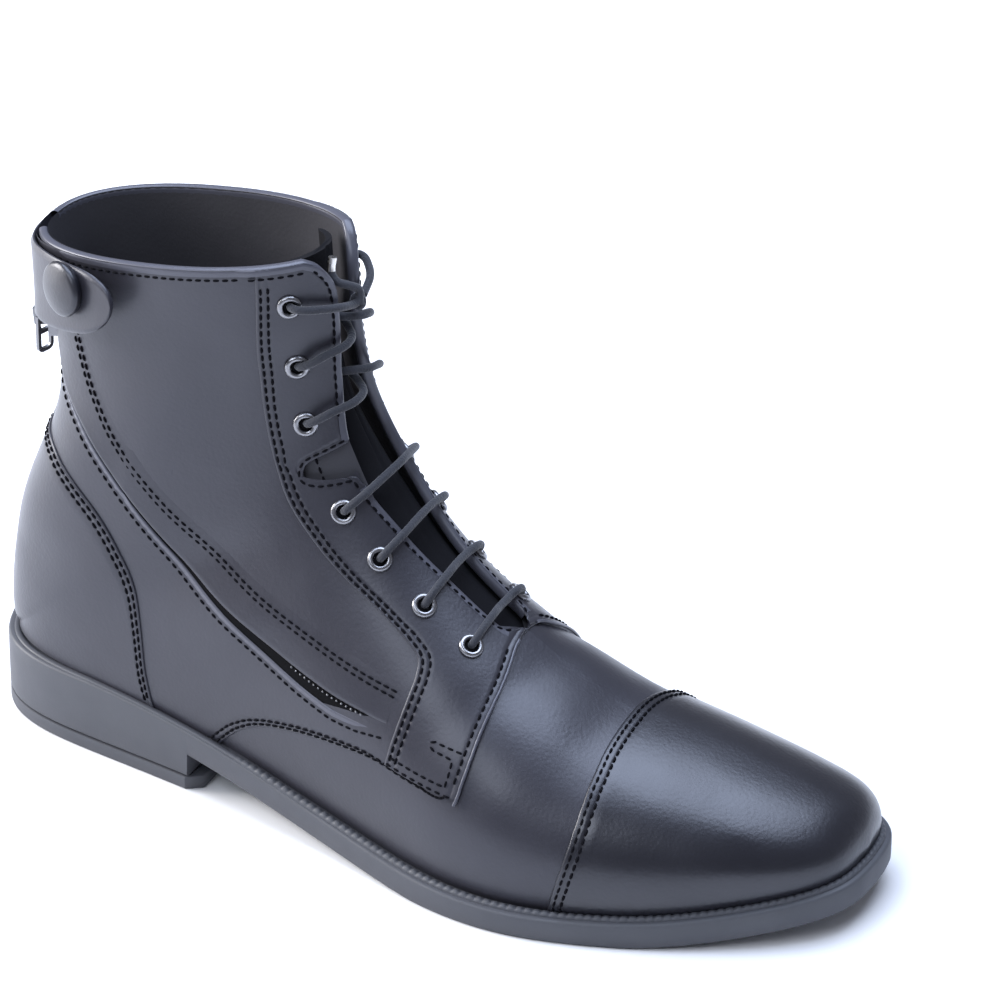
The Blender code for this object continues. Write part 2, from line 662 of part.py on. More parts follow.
def make_rib_cutter():
    """Grooves between the forefoot ribs, joined into one cutting form."""
    sections, _ = sole_sections()
    lateral = sole_outline(ledge_width, LATERAL, sections)
    medial = sole_outline(ledge_width, MEDIAL, sections)
    top = feather_height(sections)
    points = []
    faces = []
    for rib in range(RIB_COUNT):
        x = RIB_FIRST_X + rib * RIB_PITCH
        slant = math.tan(RIB_SLANT)
        low_y = np.interp(-x, -lateral[:, 0], lateral[:, 1]) + RIB_BORDER
        high_y = np.interp(-x, -medial[:, 0], medial[:, 1]) - RIB_BORDER
        ground = max(0.0, np.interp(-x, -lateral[:, 0], top) - SOLE_THICKNESS)
        start = len(points)
        for z in (ground - 3.0, ground + RIB_DEPTH):
            for y in (low_y, high_y):
                for shift in (-RIB_GROOVE_WIDTH / 2, RIB_GROOVE_WIDTH / 2):
                    points.append((x + shift - y * slant, y, z))
        box = ((0, 1, 3, 2), (4, 6, 7, 5), (0, 4, 5, 1), (2, 3, 7, 6), (0, 2, 6, 4), (1, 5, 7, 3))
        faces.extend(tuple(start + index for index in face) for face in box)
    return as_cutter(solid("rib_grooves", points, faces, BLACK_RUBBER, smooth=False))


def flat_plate(name, lateral, medial, low, high, look):
    """Plate between two outlines, with heights given row by row."""
    points = []
    for height in (low, high):
        for row in range(len(lateral)):
            points.append((*lateral[row], height[row]))
            points.append((*medial[row], height[row]))
    rows = len(lateral)
    below = 2 * rows
    faces = grid_faces(rows, 2) + grid_faces(rows, 2, below, flip=True)
    for row in range(rows - 1):
        for edge in (0, 1):
            corner = 2 * row + edge
            faces.append((corner, corner + 2, corner + 2 + below, corner + below))
    for corner in (0, 2 * rows - 2):
        faces.append((corner, corner + 1, corner + 1 + below, corner + below))
    return solid(name, points, faces, look)


def make_top_lift():
    """Heel top piece, the layer that the heel stands on."""
    sections, heel_row = sole_sections()
    kept = sections[heel_row:]
    lateral = sole_outline(ledge_width, LATERAL, sections)[heel_row:]
    medial = sole_outline(ledge_width, MEDIAL, sections)[heel_row:]
    low = np.zeros(len(kept))
    return flat_plate("heel_top_lift", lateral, medial, low, low + TOP_LIFT_HEIGHT, BLACK_RUBBER)


def make_insole():
    """Board inside the upper, on the sole."""
    sections, _ = sole_sections()
    lateral = sole_outline(-INSOLE_INSET, LATERAL, sections)
    medial = sole_outline(-INSOLE_INSET, MEDIAL, sections)
    low = feather_height(sections) + INSOLE_RISE
    return flat_plate("insole", lateral, medial, low, low + INSOLE_THICKNESS, DARK_LINING)


def make_welt():
    """Raised strip on the ledge all around the upper."""
    sections, _ = sole_sections()
    loop = []
    for side, order in ((LATERAL, slice(None)), (MEDIAL, slice(-2, 0, -1))):
        inner = sole_outline(WELT_INNER, side, sections)[order]
        outer = sole_outline(lambda x: np.minimum(WELT_OUTER, ledge_width(x) - 0.2), side, sections)[order]
        height = feather_height(sections)[order]
        for near, far, low in zip(inner, outer, height):
            shoulder = low + WELT_HEIGHT * WELT_SHOULDER
            loop.append(((*near, low), (*far, low), (*far, shoulder), (*near, low + WELT_HEIGHT)))
    points = [corner for ring in loop for corner in ring]
    faces = tube_faces(len(loop), 4)[2:]
    last = (len(loop) - 1) * 4
    for corner in range(4):
        following = (corner + 1) % 4
        faces.append((last + corner, last + following, following, corner))
    return solid("welt", points, faces, BLACK_RUBBER)


def upper_form(low, high, first=0.0, last=COLLAR_SECTION):
    """Closed wall between two offsets of the upper's own surface."""
    rows = UPPER_ROWS[(UPPER_ROWS >= first - 1e-6) & (UPPER_ROWS <= last + 1e-6)]
    points, faces = upper_surface(rows, UPPER_COLUMNS)
    return thickened(points, faces, low, high)


def make_eyelet_cutter():
    """Pins through every eyelet place, joined into one cutting form."""
    points = []
    faces = []
    sides = 8
    for place, normal in eyelet_places():
        turn = Vector(normal).to_track_quat("Z", "Y")
        start = len(points)
        for height in (-8.0, 8.0):
            for corner in range(sides):
                angle = 2.0 * math.pi * (corner + 0.5) / sides
                arm = Vector((EYELET_CUT * math.cos(angle), EYELET_CUT * math.sin(angle), height))
                points.append(Vector(place) + turn @ arm)
        faces.extend(tuple(start + index for index in face) for face in tube_faces(2, sides))
    return as_cutter(solid("eyelet_pins", points, faces, GUNMETAL, smooth=False))


def eyelet_places():
    """Places and normals of the lateral eyelets from the top down, then the medial ones."""
    places = []
    for side in (LATERAL, MEDIAL):
        for section, around in EYELETS:
            spot = around if side == LATERAL else 2.0 - around - MEDIAL_EYELET_SHIFT
            places.append((signed_point(section, spot), last_normal(section, spot)))
    return places


def make_upper(notch, pins):
    """Hollow leather upper in one wall."""
    made = mesh_object("upper", upper_form(-WALL, 0.0), BLACK_LEATHER)
    path = smooth_path(ZIP_LINE, per_span=2)
    slit = as_cutter(ribbon("zip_slit", path, SLIT_HALF_WIDTH, -6.0, 4.0, BLACK_LEATHER))
    for cutter in (notch, pins, slit):
        boolean(made, cutter)
    return made


def make_toe_cap():
    """Second layer of leather over the toe."""
    made = mesh_object("toe_cap", upper_form(OVERLAY_LOW, OVERLAY_HIGH, 0.0, TOE_CAP_FOOT), BLACK_LEATHER)
    edge = smooth_path(TOE_CAP_EDGE, per_span=3)
    above = edge[0] + (0.0, 20.0)
    foot = above_feather(TOE_CAP_FOOT, 0.0)
    outline = [above, *clear_of(edge, foot[0]), *foot, (320.0, foot[-1][1]), (320.0, above[1])]
    boolean(made, prism("toe_cap_form", outline, -CUT_REACH, CUT_REACH), "INTERSECT")
    return made


def make_counter():
    """Heel counter, around the back of the foot below the zip."""
    made = mesh_object("counter", upper_form(OVERLAY_LOW, OVERLAY_HIGH, *COUNTER_WALL), BLACK_LEATHER)
    edge = smooth_path(COUNTER_EDGE, per_span=3)
    foot = above_feather(COUNTER_FOOT, HEEL_SECTION)
    outline = [(-20.0, edge[0][1]), *clear_of(edge, foot[0]), *foot, (-20.0, foot[-1][1])]
    boolean(made, prism("counter_form", outline, -CUT_REACH, CUT_REACH), "INTERSECT")
    return made


def make_eyestay(name, side, notch, pins):
    """Facing layer that carries the eyelets, from the collar to its square foot on the vamp."""
    made = mesh_object(name, upper_form(OVERLAY_LOW, OVERLAY_HIGH, *EYESTAY_WALL), BLACK_LEATHER)
    rear = smooth_path(EYESTAY_REAR, per_span=3)
    front = smooth_path(EYESTAY_FRONT, per_span=3)
    top = (rear[0][0], EYESTAY_AIR[-1][1])
    outline = [top, *rear, *front, *EYESTAY_AIR]
    low_y, high_y = (-CUT_REACH, THROAT_LATERAL) if side == LATERAL else (THROAT_MEDIAL, CUT_REACH)
    boolean(made, prism(name + "_form", outline, low_y, high_y), "INTERSECT")
    boolean(made, notch)
    boolean(made, pins)
    return made


def make_zip_flap():
    """Strip that covers the zip, open along its rear edge."""
    made = mesh_object("zip_flap", upper_form(OVERLAY_LOW, OVERLAY_HIGH, *FLAP_WALL), BLACK_LEATHER)
    rear = smooth_path(ZIP_EDGE, per_span=3)
    front = smooth_path(FLAP_FRONT, per_span=3)
    boolean(made, prism("zip_flap_form", [*rear, *front[::-1]], -CUT_REACH, 0.0), "INTERSECT")
    return made


def make_tongue():
    """Tongue under the throat, from the vamp to the collar."""
    table = np.array(TONGUE)
    sections = np.linspace(table[0, 0], table[-1, 0], 20)
    columns = 11
    points = []
    for section in sections:
        edge, depth = (np.interp(section, table[:, 0], table[:, place]) for place in (1, 2))
        for around in np.linspace(edge, 2.0 - edge, columns):
            points.append(signed_point(section, around) - last_normal(section, around) * depth)
    faces = grid_faces(len(sections), columns)
    return mesh_object("tongue", thickened(points, faces, -TONGUE_THICKNESS, 0.0), BLACK_LEATHER)


def make_zip_chain():
    """Closed zip in its slit: teeth and tape as one strip."""
    path = np.array([row for row in smooth_path(ZIP_LINE, per_span=2) if row[0] < COLLAR_SECTION - 0.25])
    return ribbon("zip_chain", path[:-1], SLIT_HALF_WIDTH - 2.0 * FIT_GAP, -2.0, -0.7, GUNMETAL)


def strap_offset(section, around):
    """How far the strap stands off the shaft: sewn down on the medial side, loose around the back."""
    table = np.array(STRAP_STANDOFF)
    distance, lean = (np.interp(around, table[:, 0], table[:, place]) for place in (1, 2))
    middle = (STRAP_LOW_SECTION + STRAP_HIGH_SECTION) / 2
    return distance - lean * (section - middle)


def strap_point(section, around, lift):
    """Point on the strap, lifted off its inner face."""
    place = signed_point(section, around)
    normal = last_normal(min(section, COLLAR_SECTION - 0.1), around)
    return place + normal * (strap_offset(section, around) + lift)


def make_back_strap():
    """Snap strap around the back of the collar, over the top of the zip."""
    spread = np.linspace(-STRAP_MEDIAL_AROUND, STRAP_LATERAL_AROUND, STRAP_RINGS)
    middle = (STRAP_LOW_SECTION + STRAP_HIGH_SECTION) / 2
    reach = (STRAP_HIGH_SECTION - STRAP_LOW_SECTION) / 2
    ring = ((-1.0, 0.0), (0.0, 0.0), (1.0, 0.0), (1.0, 1.0), (0.0, 1.0), (-1.0, 1.0))
    points = []
    for around in spread:
        past = max(0.0, (around - STRAP_LATERAL_AROUND) / STRAP_END_LENGTH + 1.0)
        half = reach * math.sqrt(max(1.0 - past ** STRAP_END_POWER, STRAP_END_BLUNT))
        for across, lift in ring:
            points.append(strap_point(middle + across * half, around, lift * STRAP_THICKNESS))
    return solid("back_strap", points, tube_faces(STRAP_RINGS, len(ring)), BLACK_LEATHER)


def make_snap_button():
    """Covered snap button on the strap."""
    section, around = BUTTON_PLACE
    place = strap_point(section, around, STRAP_THICKNESS)
    step = 0.05
    above = strap_point(section + step, around, STRAP_THICKNESS) - place
    ahead = strap_point(section, around + step, STRAP_THICKNESS)
    across = ahead - strap_point(section, around - step, STRAP_THICKNESS)
    normal = np.cross(across, above)
    normal /= np.linalg.norm(normal)
    place = place + normal * BUTTON_SEAT
    rim = BUTTON_HEIGHT * 0.6
    profile = ((POLE_RADIUS, 0.0), (BUTTON_RADIUS - 0.8, 0.0), (BUTTON_RADIUS, 0.8), (BUTTON_RADIUS, rim),
               (BUTTON_RADIUS * 0.8, BUTTON_HEIGHT * 0.93), (POLE_RADIUS, BUTTON_HEIGHT))
    return turned("snap_button", profile, place, normal, BLACK_LEATHER, 20)


def slider_axes():
    """Seat, outward direction, width direction and up direction of the zip slider."""
    section, around = SLIDER_PLACE
    seat = signed_point(section, around)
    outward = last_normal(section, around)
    above = signed_point(section + 0.2, around) - signed_point(section - 0.2, around)
    wide = np.cross(outward, above)
    wide /= np.linalg.norm(wide)
    up = np.cross(wide, outward)
    return seat, outward, wide, up


def box_points(centre, wide, up, outward, size):
    """Corners of a box given by its middle, its axes and its size."""
    corners = []
    for depth in (-0.5, 0.5):
        for across, height in ((-0.5, -0.5), (0.5, -0.5), (0.5, 0.5), (-0.5, 0.5)):
            on_face = wide * across * size[0] + up * height * size[1]
            corners.append(centre + on_face + outward * depth * size[2])
    return corners


def make_zip_slider():
    """Slider body with the bridge that holds the pull tab."""
    seat, outward, wide, up = slider_axes()
    plate = seat + outward * (FIT_GAP + SLIDER_SIZE[2] / 2)
    made = solid("zip_slider", box_points(plate, wide, up, outward, SLIDER_SIZE), tube_faces(2, 4),
                 GUNMETAL, smooth=False)
    face = seat + outward * (FIT_GAP + SLIDER_SIZE[2])
    rise = BRIDGE_HEIGHT + 0.4
    middle = face + outward * (BRIDGE_HEIGHT / 2 - 0.2)
    bar = box_points(middle, wide, up, outward, (BRIDGE_WIDTH, BRIDGE_LENGTH, rise))
    bridge = solid("bridge_form", bar, tube_faces(2, 4), GUNMETAL, False)
    opening = (BRIDGE_WIDTH + 2.0, BRIDGE_LENGTH - 2.0 * BRIDGE_BAR, BRIDGE_HEIGHT - BRIDGE_BAR)
    window = box_points(face + outward * (opening[2] / 2), wide, up, outward, opening)
    gap = solid("bridge_window", window, tube_faces(2, 4), GUNMETAL, False)
    boolean(made, as_cutter(bridge), "UNION")
    boolean(made, as_cutter(gap))
    return made


def pull_axis():
    """Point on the pull tab's hinge line, under the slider's bridge."""
    seat, outward, wide, up = slider_axes()
    return seat + outward * (FIT_GAP + SLIDER_SIZE[2] + (BRIDGE_HEIGHT - BRIDGE_BAR) / 2), outward, wide, up


def make_pull_tab():
    """Flat metal tab that hangs from the slider and swings about its upper bar."""
    centre, _, wide, _ = pull_axis()
    level = Vector((wide[0], wide[1], 0.0)).normalized()
    across = np.array(Matrix.Rotation(PULL_TURN, 3, "Z") @ level)
    down = np.array([0.0, 0.0, -1.0])
    outline = loop_outline(PULL_WIDTH / 2, -PULL_BAR / 2, PULL_LENGTH, PULL_CORNER)
    made = tab_plate("zip_pull_tab", outline, centre, across, down, PULL_THICKNESS)
    for index, (top, bottom) in enumerate(PULL_OPENINGS):
        hole = loop_outline(PULL_OPENING_WIDTH / 2, top, bottom, PULL_OPENING_WIDTH / 2 - 0.5)
        cutter = tab_plate("pull_opening_" + str(index), hole, centre, across, down, 3.0 * PULL_THICKNESS)
        boolean(made, as_cutter(cutter))
    move_origin(made, centre)
    return made


def tab_plate(name, outline, centre, across, down, thickness):
    """Flat plate in the hanging plane, from rows of across and down."""
    depth = np.cross(across, down)
    count = len(outline)
    points = [centre + across * u + down * v + depth * lift
              for lift in (-thickness / 2, thickness / 2) for u, v in outline]
    return solid(name, points, tube_faces(2, count), GUNMETAL)


def loop_outline(half, top, bottom, corner):
    """Outline with two rounded lower corners. Rows are across and down."""
    outline = [(-half, top), (half, top)]
    for centre_u, start in ((half - corner, 0.0), (-half + corner, 90.0)):
        for angle in (0.0, 30.0, 60.0, 90.0):
            turn = math.radians(start + angle)
            outline.append((centre_u + corner * math.cos(turn), bottom - corner + corner * math.sin(turn)))
    return outline


def move_origin(made, point):
    """Place an object's origin on its joint without moving its shape."""
    shift = Vector(point) * MM
    made.data.transform(Matrix.Translation(-shift))
    made.location = shift


def make_eyelets():
    """Fourteen metal eyelets, numbered from the top."""
    profile = ((EYELET_HOLE, 0.0), (EYELET_RADIUS, EYELET_UNDERCUT), (EYELET_CROWN, EYELET_RISE))
    for index, (place, normal) in enumerate(eyelet_places()):
        side = "lateral" if index < len(EYELETS) else "medial"
        name = "eyelet_" + side + "_" + str(index % len(EYELETS) + 1)
        seat = place + normal * (OVERLAY_HIGH + FIT_GAP)
        turned(name, profile, seat, normal, GUNMETAL, EYELET_SEGMENTS)


def above_last(places):
    """Points above the last from rows of section, around and height."""
    return [signed_point(section, around) + last_normal(section, around) * height
            for section, around, height in places]


def make_lace():
    """Straight bars over the instep, crossing strands up the shaft, and the tied top."""
    for pair in BAR_PAIRS:
        section, around = EYELETS[pair - 1]
        edge = facing_around(section)
        far = 2.0 - around - MEDIAL_EYELET_SHIFT
        places = (
            (section, around, LACE_OVER_EYELET), (section, (around + edge) / 2, LACE_OVER_EYELET),
            (section, edge, LACE_OVER_EDGE), (section, 1.0, LACE_OVER_THROAT),
            (section, 2.0 - edge, LACE_OVER_EDGE),
            (section, (far + 2.0 - edge) / 2, LACE_OVER_EYELET), (section, far, LACE_OVER_EYELET),
        )
        round_tube("lace_bar_" + str(pair), smooth_path(above_last(places), 2), LACE_DIAMETER, BLACK_CORD)
    for name, places in LACE_STRANDS.items():
        round_tube(name, smooth_path(above_last(places), 2), LACE_DIAMETER, BLACK_CORD)
    profile = ((POLE_RADIUS, -KNOT_RADIUS), (KNOT_RADIUS * 0.75, -KNOT_RADIUS * 0.7), (KNOT_RADIUS, 0.0),
               (KNOT_RADIUS * 0.75, KNOT_RADIUS * 0.7), (POLE_RADIUS, KNOT_RADIUS))
    turned("lace_knot", profile, above_last([KNOT_PLACE])[0], (0.0, 1.0, 0.2), BLACK_CORD, 10)
    round_tube("lace_end", smooth_path(LACE_END, 3), LACE_DIAMETER, BLACK_CORD)


def frame_shift():
    """Move the middle of the sole's plan to the origin."""
    sections, _ = sole_sections()
    plan = np.vstack([sole_outline(ledge_width, side, sections) for side in (LATERAL, MEDIAL)])
    middle = (plan.min(axis=0) + plan.max(axis=0)) / 2
    return Vector((-middle[0], -middle[1], 0.0)) * MM


for old in list(bpy.data.objects):
    bpy.data.objects.remove(old, do_unlink=True)

FRAME = bpy.data.objects.new("boot_frame", None)
bpy.context.collection.objects.link(FRAME)
FRAME.location = frame_shift()

notch_form = prism("flex_notch", FLEX_NOTCH, -CUT_REACH, CUT_REACH)
pin_form = make_eyelet_cutter()
make_outsole()
make_top_lift()
make_welt()
make_insole()
make_upper(notch_form, pin_form)
make_tongue()
make_toe_cap()
make_counter()
make_eyestay("eyestay_lateral", LATERAL, notch_form, pin_form)
make_eyestay("eyestay_medial", MEDIAL, notch_form, pin_form)
make_zip_flap()
make_zip_chain()
make_zip_slider()
make_pull_tab()
make_back_strap()
make_snap_button()
make_eyelets()
make_lace()
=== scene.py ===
import math

import bmesh
import bpy
import numpy as np
from mathutils import Matrix, Vector


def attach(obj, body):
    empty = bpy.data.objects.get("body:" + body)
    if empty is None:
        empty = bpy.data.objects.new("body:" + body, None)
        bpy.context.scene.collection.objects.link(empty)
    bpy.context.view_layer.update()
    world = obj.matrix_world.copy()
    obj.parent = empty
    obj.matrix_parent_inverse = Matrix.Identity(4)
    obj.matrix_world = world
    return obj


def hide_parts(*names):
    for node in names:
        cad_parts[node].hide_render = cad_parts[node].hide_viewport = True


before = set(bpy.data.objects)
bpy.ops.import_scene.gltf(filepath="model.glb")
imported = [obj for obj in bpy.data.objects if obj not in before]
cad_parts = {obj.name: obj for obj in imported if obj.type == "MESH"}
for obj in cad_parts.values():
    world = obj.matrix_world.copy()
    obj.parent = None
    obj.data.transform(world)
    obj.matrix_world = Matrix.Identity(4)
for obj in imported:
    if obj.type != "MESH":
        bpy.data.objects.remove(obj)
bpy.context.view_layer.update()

# Looks of the right jodhpur boot. Tables are in millimetres, with the toe to +X and the outer side to -Y.
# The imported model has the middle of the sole's plan at the origin, so every point moves by FRAME_SHIFT.
MM = 0.001
FRAME_SHIFT = np.array([-153.54, 7.2525, 0.0])

# The last, as a fan of straight section lines seen from the side, from the foot to the ridge
SECTION_COLUMNS = (
    "foot_x", "foot_z", "ridge_x", "ridge_z", "centre_y", "lateral", "medial",
    "foot_lateral", "foot_medial", "belly", "lateral_power", "medial_power", "lower_power",
)
SECTIONS = np.array([
    (300.0, 17.5, 301.0, 21.5, 9.0, 0.0, 0.0, 0.0, 0.0, 0.30, 2.2, 2.0, 2.0),
    (299.0, 17.4, 300.0, 25.0, 9.0, 12.0, 11.0, 11.5, 10.5, 0.30, 2.3, 2.0, 2.0),
    (295.0, 16.6, 297.0, 29.5, 8.5, 20.5, 19.5, 19.5, 18.5, 0.28, 2.3, 1.9, 2.0),
    (287.0, 15.0, 290.0, 34.0, 7.5, 28.0, 27.0, 26.5, 25.5, 0.26, 2.3, 1.9, 2.0),
    (273.0, 12.6, 276.0, 39.0, 5.5, 36.0, 33.0, 34.5, 31.5, 0.24, 2.3, 1.9, 2.0),
    (252.0, 9.8, 255.0, 45.5, 3.0, 45.0, 38.0, 43.5, 36.5, 0.22, 2.2, 1.9, 2.0),
    (230.0, 8.6, 231.0, 52.8, 1.0, 51.5, 40.0, 50.0, 38.5, 0.22, 2.1, 1.9, 2.0),
    (208.0, 8.4, 207.0, 62.3, -0.5, 55.0, 40.0, 53.5, 38.0, 0.22, 2.05, 1.9, 2.0),
    (184.0, 8.9, 186.0, 73.5, -0.5, 54.5, 37.0, 52.5, 34.5, 0.22, 2.0, 1.9, 2.0),
    (158.0, 10.8, 170.0, 84.5, 0.0, 49.0, 33.5, 46.5, 29.0, 0.26, 2.0, 1.9, 2.0),
    (128.0, 15.0, 157.0, 95.0, 1.0, 43.5, 32.0, 40.0, 25.0, 0.32, 2.0, 2.0, 2.0),
    (96.0, 20.8, 147.5, 106.0, 2.0, 38.5, 32.5, 35.0, 25.0, 0.36, 2.0, 2.0, 2.0),
    (62.0, 25.5, 140.0, 118.0, 2.5, 34.5, 33.0, 31.0, 27.0, 0.38, 2.0, 2.0, 2.1),
    (32.0, 27.3, 134.0, 130.0, 3.0, 32.0, 32.0, 26.5, 25.0, 0.40, 2.0, 2.0, 2.2),
    (13.0, 27.8, 130.0, 140.0, 3.0, 31.0, 31.0, 15.5, 15.0, 0.42, 2.0, 2.0, 2.3),
    (7.0, 28.4, 127.5, 148.5, 3.0, 30.5, 30.5, 0.0, 0.0, 0.44, 2.0, 2.0, 2.4),
    (6.8, 46.0, 126.0, 156.5, 3.0, 29.5, 29.5, 0.0, 0.0, 0.45, 2.0, 2.0, 2.4),
    (11.0, 73.0, 125.0, 164.5, 3.0, 28.5, 28.5, 0.0, 0.0, 0.46, 2.0, 2.0, 2.4),
    (19.5, 97.0, 124.3, 171.5, 3.0, 28.0, 28.0, 0.0, 0.0, 0.47, 2.1, 2.1, 2.4),
    (26.0, 121.0, 123.8, 178.0, 3.0, 27.5, 27.5, 0.0, 0.0, 0.48, 2.1, 2.1, 2.4),
    (25.0, 148.0, 123.3, 184.0, 3.0, 27.5, 27.5, 0.0, 0.0, 0.49, 2.1, 2.1, 2.4),
    (19.5, 174.0, 123.0, 190.0, 3.0, 28.0, 28.0, 0.0, 0.0, 0.50, 2.1, 2.1, 2.4),
])
# Sections at the heel and the collar, and the place around of the widest line
HEEL_SECTION = 15
COLLAR_SECTION = len(SECTIONS) - 1
BELLY_AROUND = 0.4
LATERAL = -1
MEDIAL = 1

# Edge of the throat. Columns: section (a row of the fan, with fractions) and around (0 foot, 1 ridge).
FACING_EDGE = (
    (7.88, 1.0), (7.95, 0.965), (8.1, 0.945), (8.4, 0.938), (9.5, 0.923), (10.7, 0.893), (12.0, 0.857),
    (13.1, 0.866), (14.0, 0.886), (15.0, 0.905), (17.0, 0.922), (18.5, 0.922), (19.5, 0.905),
    (20.3, 0.868), (20.7, 0.84), (21.0, 0.80),
)
# Seams seen from the side. Columns: x and z.
EYESTAY_REAR = (
    (104.0, 187.5), (104.2, 180.0), (104.5, 152.0), (106.6, 134.5), (110.3, 120.0), (116.0, 108.2),
    (126.0, 98.2), (137.0, 90.2), (150.5, 82.6), (161.0, 76.2), (165.8, 72.8), (167.4, 69.0), (167.0, 62.0),
    (163.6, 41.0),
)
QUARTER_FRONT = (
    (190.2, 38.0), (190.9, 41.5), (191.7, 50.0), (191.8, 62.0), (191.2, 67.0), (188.6, 71.5),
)
QUARTER_BOTTOM = (
    (97.0, 20.7), (105.9, 29.8), (116.5, 35.7), (132.2, 39.5), (147.4, 41.4), (160.3, 41.8), (172.0, 40.2),
    (190.2, 38.0),
)
COUNTER_EDGE = (
    (20.0, 107.0), (30.3, 103.8), (36.0, 100.2), (43.0, 95.0), (51.5, 87.8), (59.0, 78.0), (64.8, 66.0),
    (67.4, 52.0), (68.8, 38.0), (71.4, 24.0),
)
TOE_CAP_EDGE = (
    (225.6, 54.8), (226.6, 48.0), (227.2, 40.0), (226.8, 31.0), (225.2, 22.5), (223.0, 14.0), (221.6, 8.6),
)
ZIP_EDGE = (
    (22.0, 173.5), (27.5, 160.0), (29.5, 150.0), (29.8, 140.0), (34.3, 127.5), (43.5, 118.3), (52.0, 109.3),
    (61.5, 99.6), (71.0, 90.8), (81.0, 82.3), (95.2, 73.2), (110.0, 66.8), (125.0, 61.3), (140.0, 57.2),
    (155.0, 54.6), (162.0, 53.7),
)
FLAP_FRONT = (
    (36.0, 176.0), (40.5, 162.0), (41.5, 150.0), (46.0, 135.5), (52.0, 124.8), (58.5, 115.8), (67.0, 106.6),
    (79.0, 96.2), (93.5, 87.0), (109.0, 79.0), (128.0, 72.0), (148.0, 66.4), (163.5, 63.2),
)
FLEX_NOTCH = (
    (129.4, 127.0), (125.0, 124.3), (120.4, 121.4), (119.0, 118.8), (119.8, 116.3), (123.5, 115.5),
    (129.0, 116.4), (133.3, 117.2), (136.0, 114.6),
)
# How far the zip gapes below its flap. Columns: x and width.
ZIP_GAPE = (
    (20.0, 0.3), (60.0, 0.4), (80.0, 0.9), (95.0, 1.7), (112.0, 2.9), (130.0, 4.0), (143.0, 4.2),
    (152.0, 3.1), (158.0, 1.5), (163.0, 0.3),
)

# Eyelets from the top down. Columns: section and around.
EYELETS = (
    (19.32, 0.742), (16.66, 0.776), (14.47, 0.783), (11.92, 0.776), (10.69, 0.796), (9.45, 0.823),
    (8.4, 0.846),
)
MEDIAL_EYELET_SHIFT = 0.02
# Least step past the middle line that counts as the medial side
SEAM_STEP = 1e-6
SIDES = (("lateral", LATERAL), ("medial", MEDIAL))


def unit(vectors):
    """Vectors scaled to length 1."""
    return vectors / np.maximum(np.linalg.norm(vectors, axis=-1, keepdims=True), 1e-12)


def square_to(vectors, direction):
    """Vectors without their part along a unit direction."""
    return vectors - direction * (vectors * direction).sum(axis=-1, keepdims=True)


def run_lengths(points):
    """Distance along a line of points."""
    steps = np.linalg.norm(np.diff(points, axis=0), axis=1)
    return np.concatenate([[0.0], np.cumsum(steps)])


def ramp(values, start, length):
    """Share from 0 at a start to 1 at a length past it. A length below 0 runs the other way."""
    return np.clip((values - start) / length, 0.0, 1.0)


def smooth_ramp(values, start, length):
    """The same share with soft ends."""
    share = ramp(values, start, length)
    return share * share * (3.0 - 2.0 * share)


def interpolated(places, keys, rows):
    """Rows of a table read at places between its keys."""
    return np.stack([np.interp(places, keys, values) for values in np.transpose(rows)], -1)


def paired(section, around):
    """Sections and places around as arrays of one shape."""
    return np.broadcast_arrays(np.asarray(section, float), np.asarray(around, float))


def path_of(section, around):
    """Path on the last. Either input may be one number."""
    return np.stack(paired(section, around), -1)


def column(rows, name):
    """Read one named column from section rows."""
    return rows[..., SECTION_COLUMNS.index(name)]


def spline_bends(values):
    """Second differences of the natural cubic spline through evenly spaced rows."""
    count = len(values)
    matrix = np.eye(count)
    right_side = np.zeros_like(values)
    for row in range(1, count - 1):
        matrix[row, row - 1:row + 2] = (1.0, 4.0, 1.0)
        right_side[row] = 6.0 * (values[row - 1] - 2.0 * values[row] + values[row + 1])
    return np.linalg.solve(matrix, right_side)


SECTION_BENDS = spline_bends(SECTIONS)
FOOT_COLUMNS = np.array([name in ("foot_lateral", "foot_medial") for name in SECTION_COLUMNS])


def section_row(section):
    """All columns of the fan at a section number, which may be a fraction."""
    section = np.clip(np.asarray(section, float), 0.0, COLLAR_SECTION)
    low = np.minimum(section.astype(int), COLLAR_SECTION - 1)
    part = (section - low)[..., None]
    rest = 1.0 - part
    straight = rest * SECTIONS[low] + part * SECTIONS[low + 1]
    bend = (rest ** 3 - rest) * SECTION_BENDS[low] + (part ** 3 - part) * SECTION_BENDS[low + 1]
    rows = straight + bend / 6.0
    shaft = (section >= HEEL_SECTION)[..., None]
    return np.where(shaft & FOOT_COLUMNS, 0.0, rows)


def along_line(around, rows):
    """Turn an even spread around the section (0 foot, 1 ridge) into the place on its straight line."""
    belly = column(rows, "belly")
    below = np.cos(ramp(around, 0.0, BELLY_AROUND) * np.pi / 2)
    above = np.sin(ramp(around, BELLY_AROUND, 1.0 - BELLY_AROUND) * np.pi / 2)
    below = np.clip(below, 0.0, 1.0) ** (2.0 / column(rows, "lower_power"))
    above = above ** (2.0 / column(rows, "lateral_power"))
    return belly - belly * below + (1.0 - belly) * above


def half_width(place, rows, side):
    """Half width of the last at a place on the section line."""
    name = "lateral" if side == LATERAL else "medial"
    width = np.maximum(column(rows, name), 1e-6)
    foot = np.clip(column(rows, "foot_" + name), 0.0, width)
    belly = column(rows, "belly")
    power = column(rows, name + "_power")
    lower = column(rows, "lower_power")
    above = ramp(place, belly, 1.0 - belly)
    below = ramp(place, belly, -belly)
    pinch = 1.0 - (foot / width) ** lower
    upper_arc = np.clip(1.0 - above ** power, 0.0, 1.0) ** (1.0 / power)
    lower_arc = np.clip(1.0 - pinch * below ** lower, 0.0, 1.0) ** (1.0 / lower)
    return width * upper_arc * lower_arc


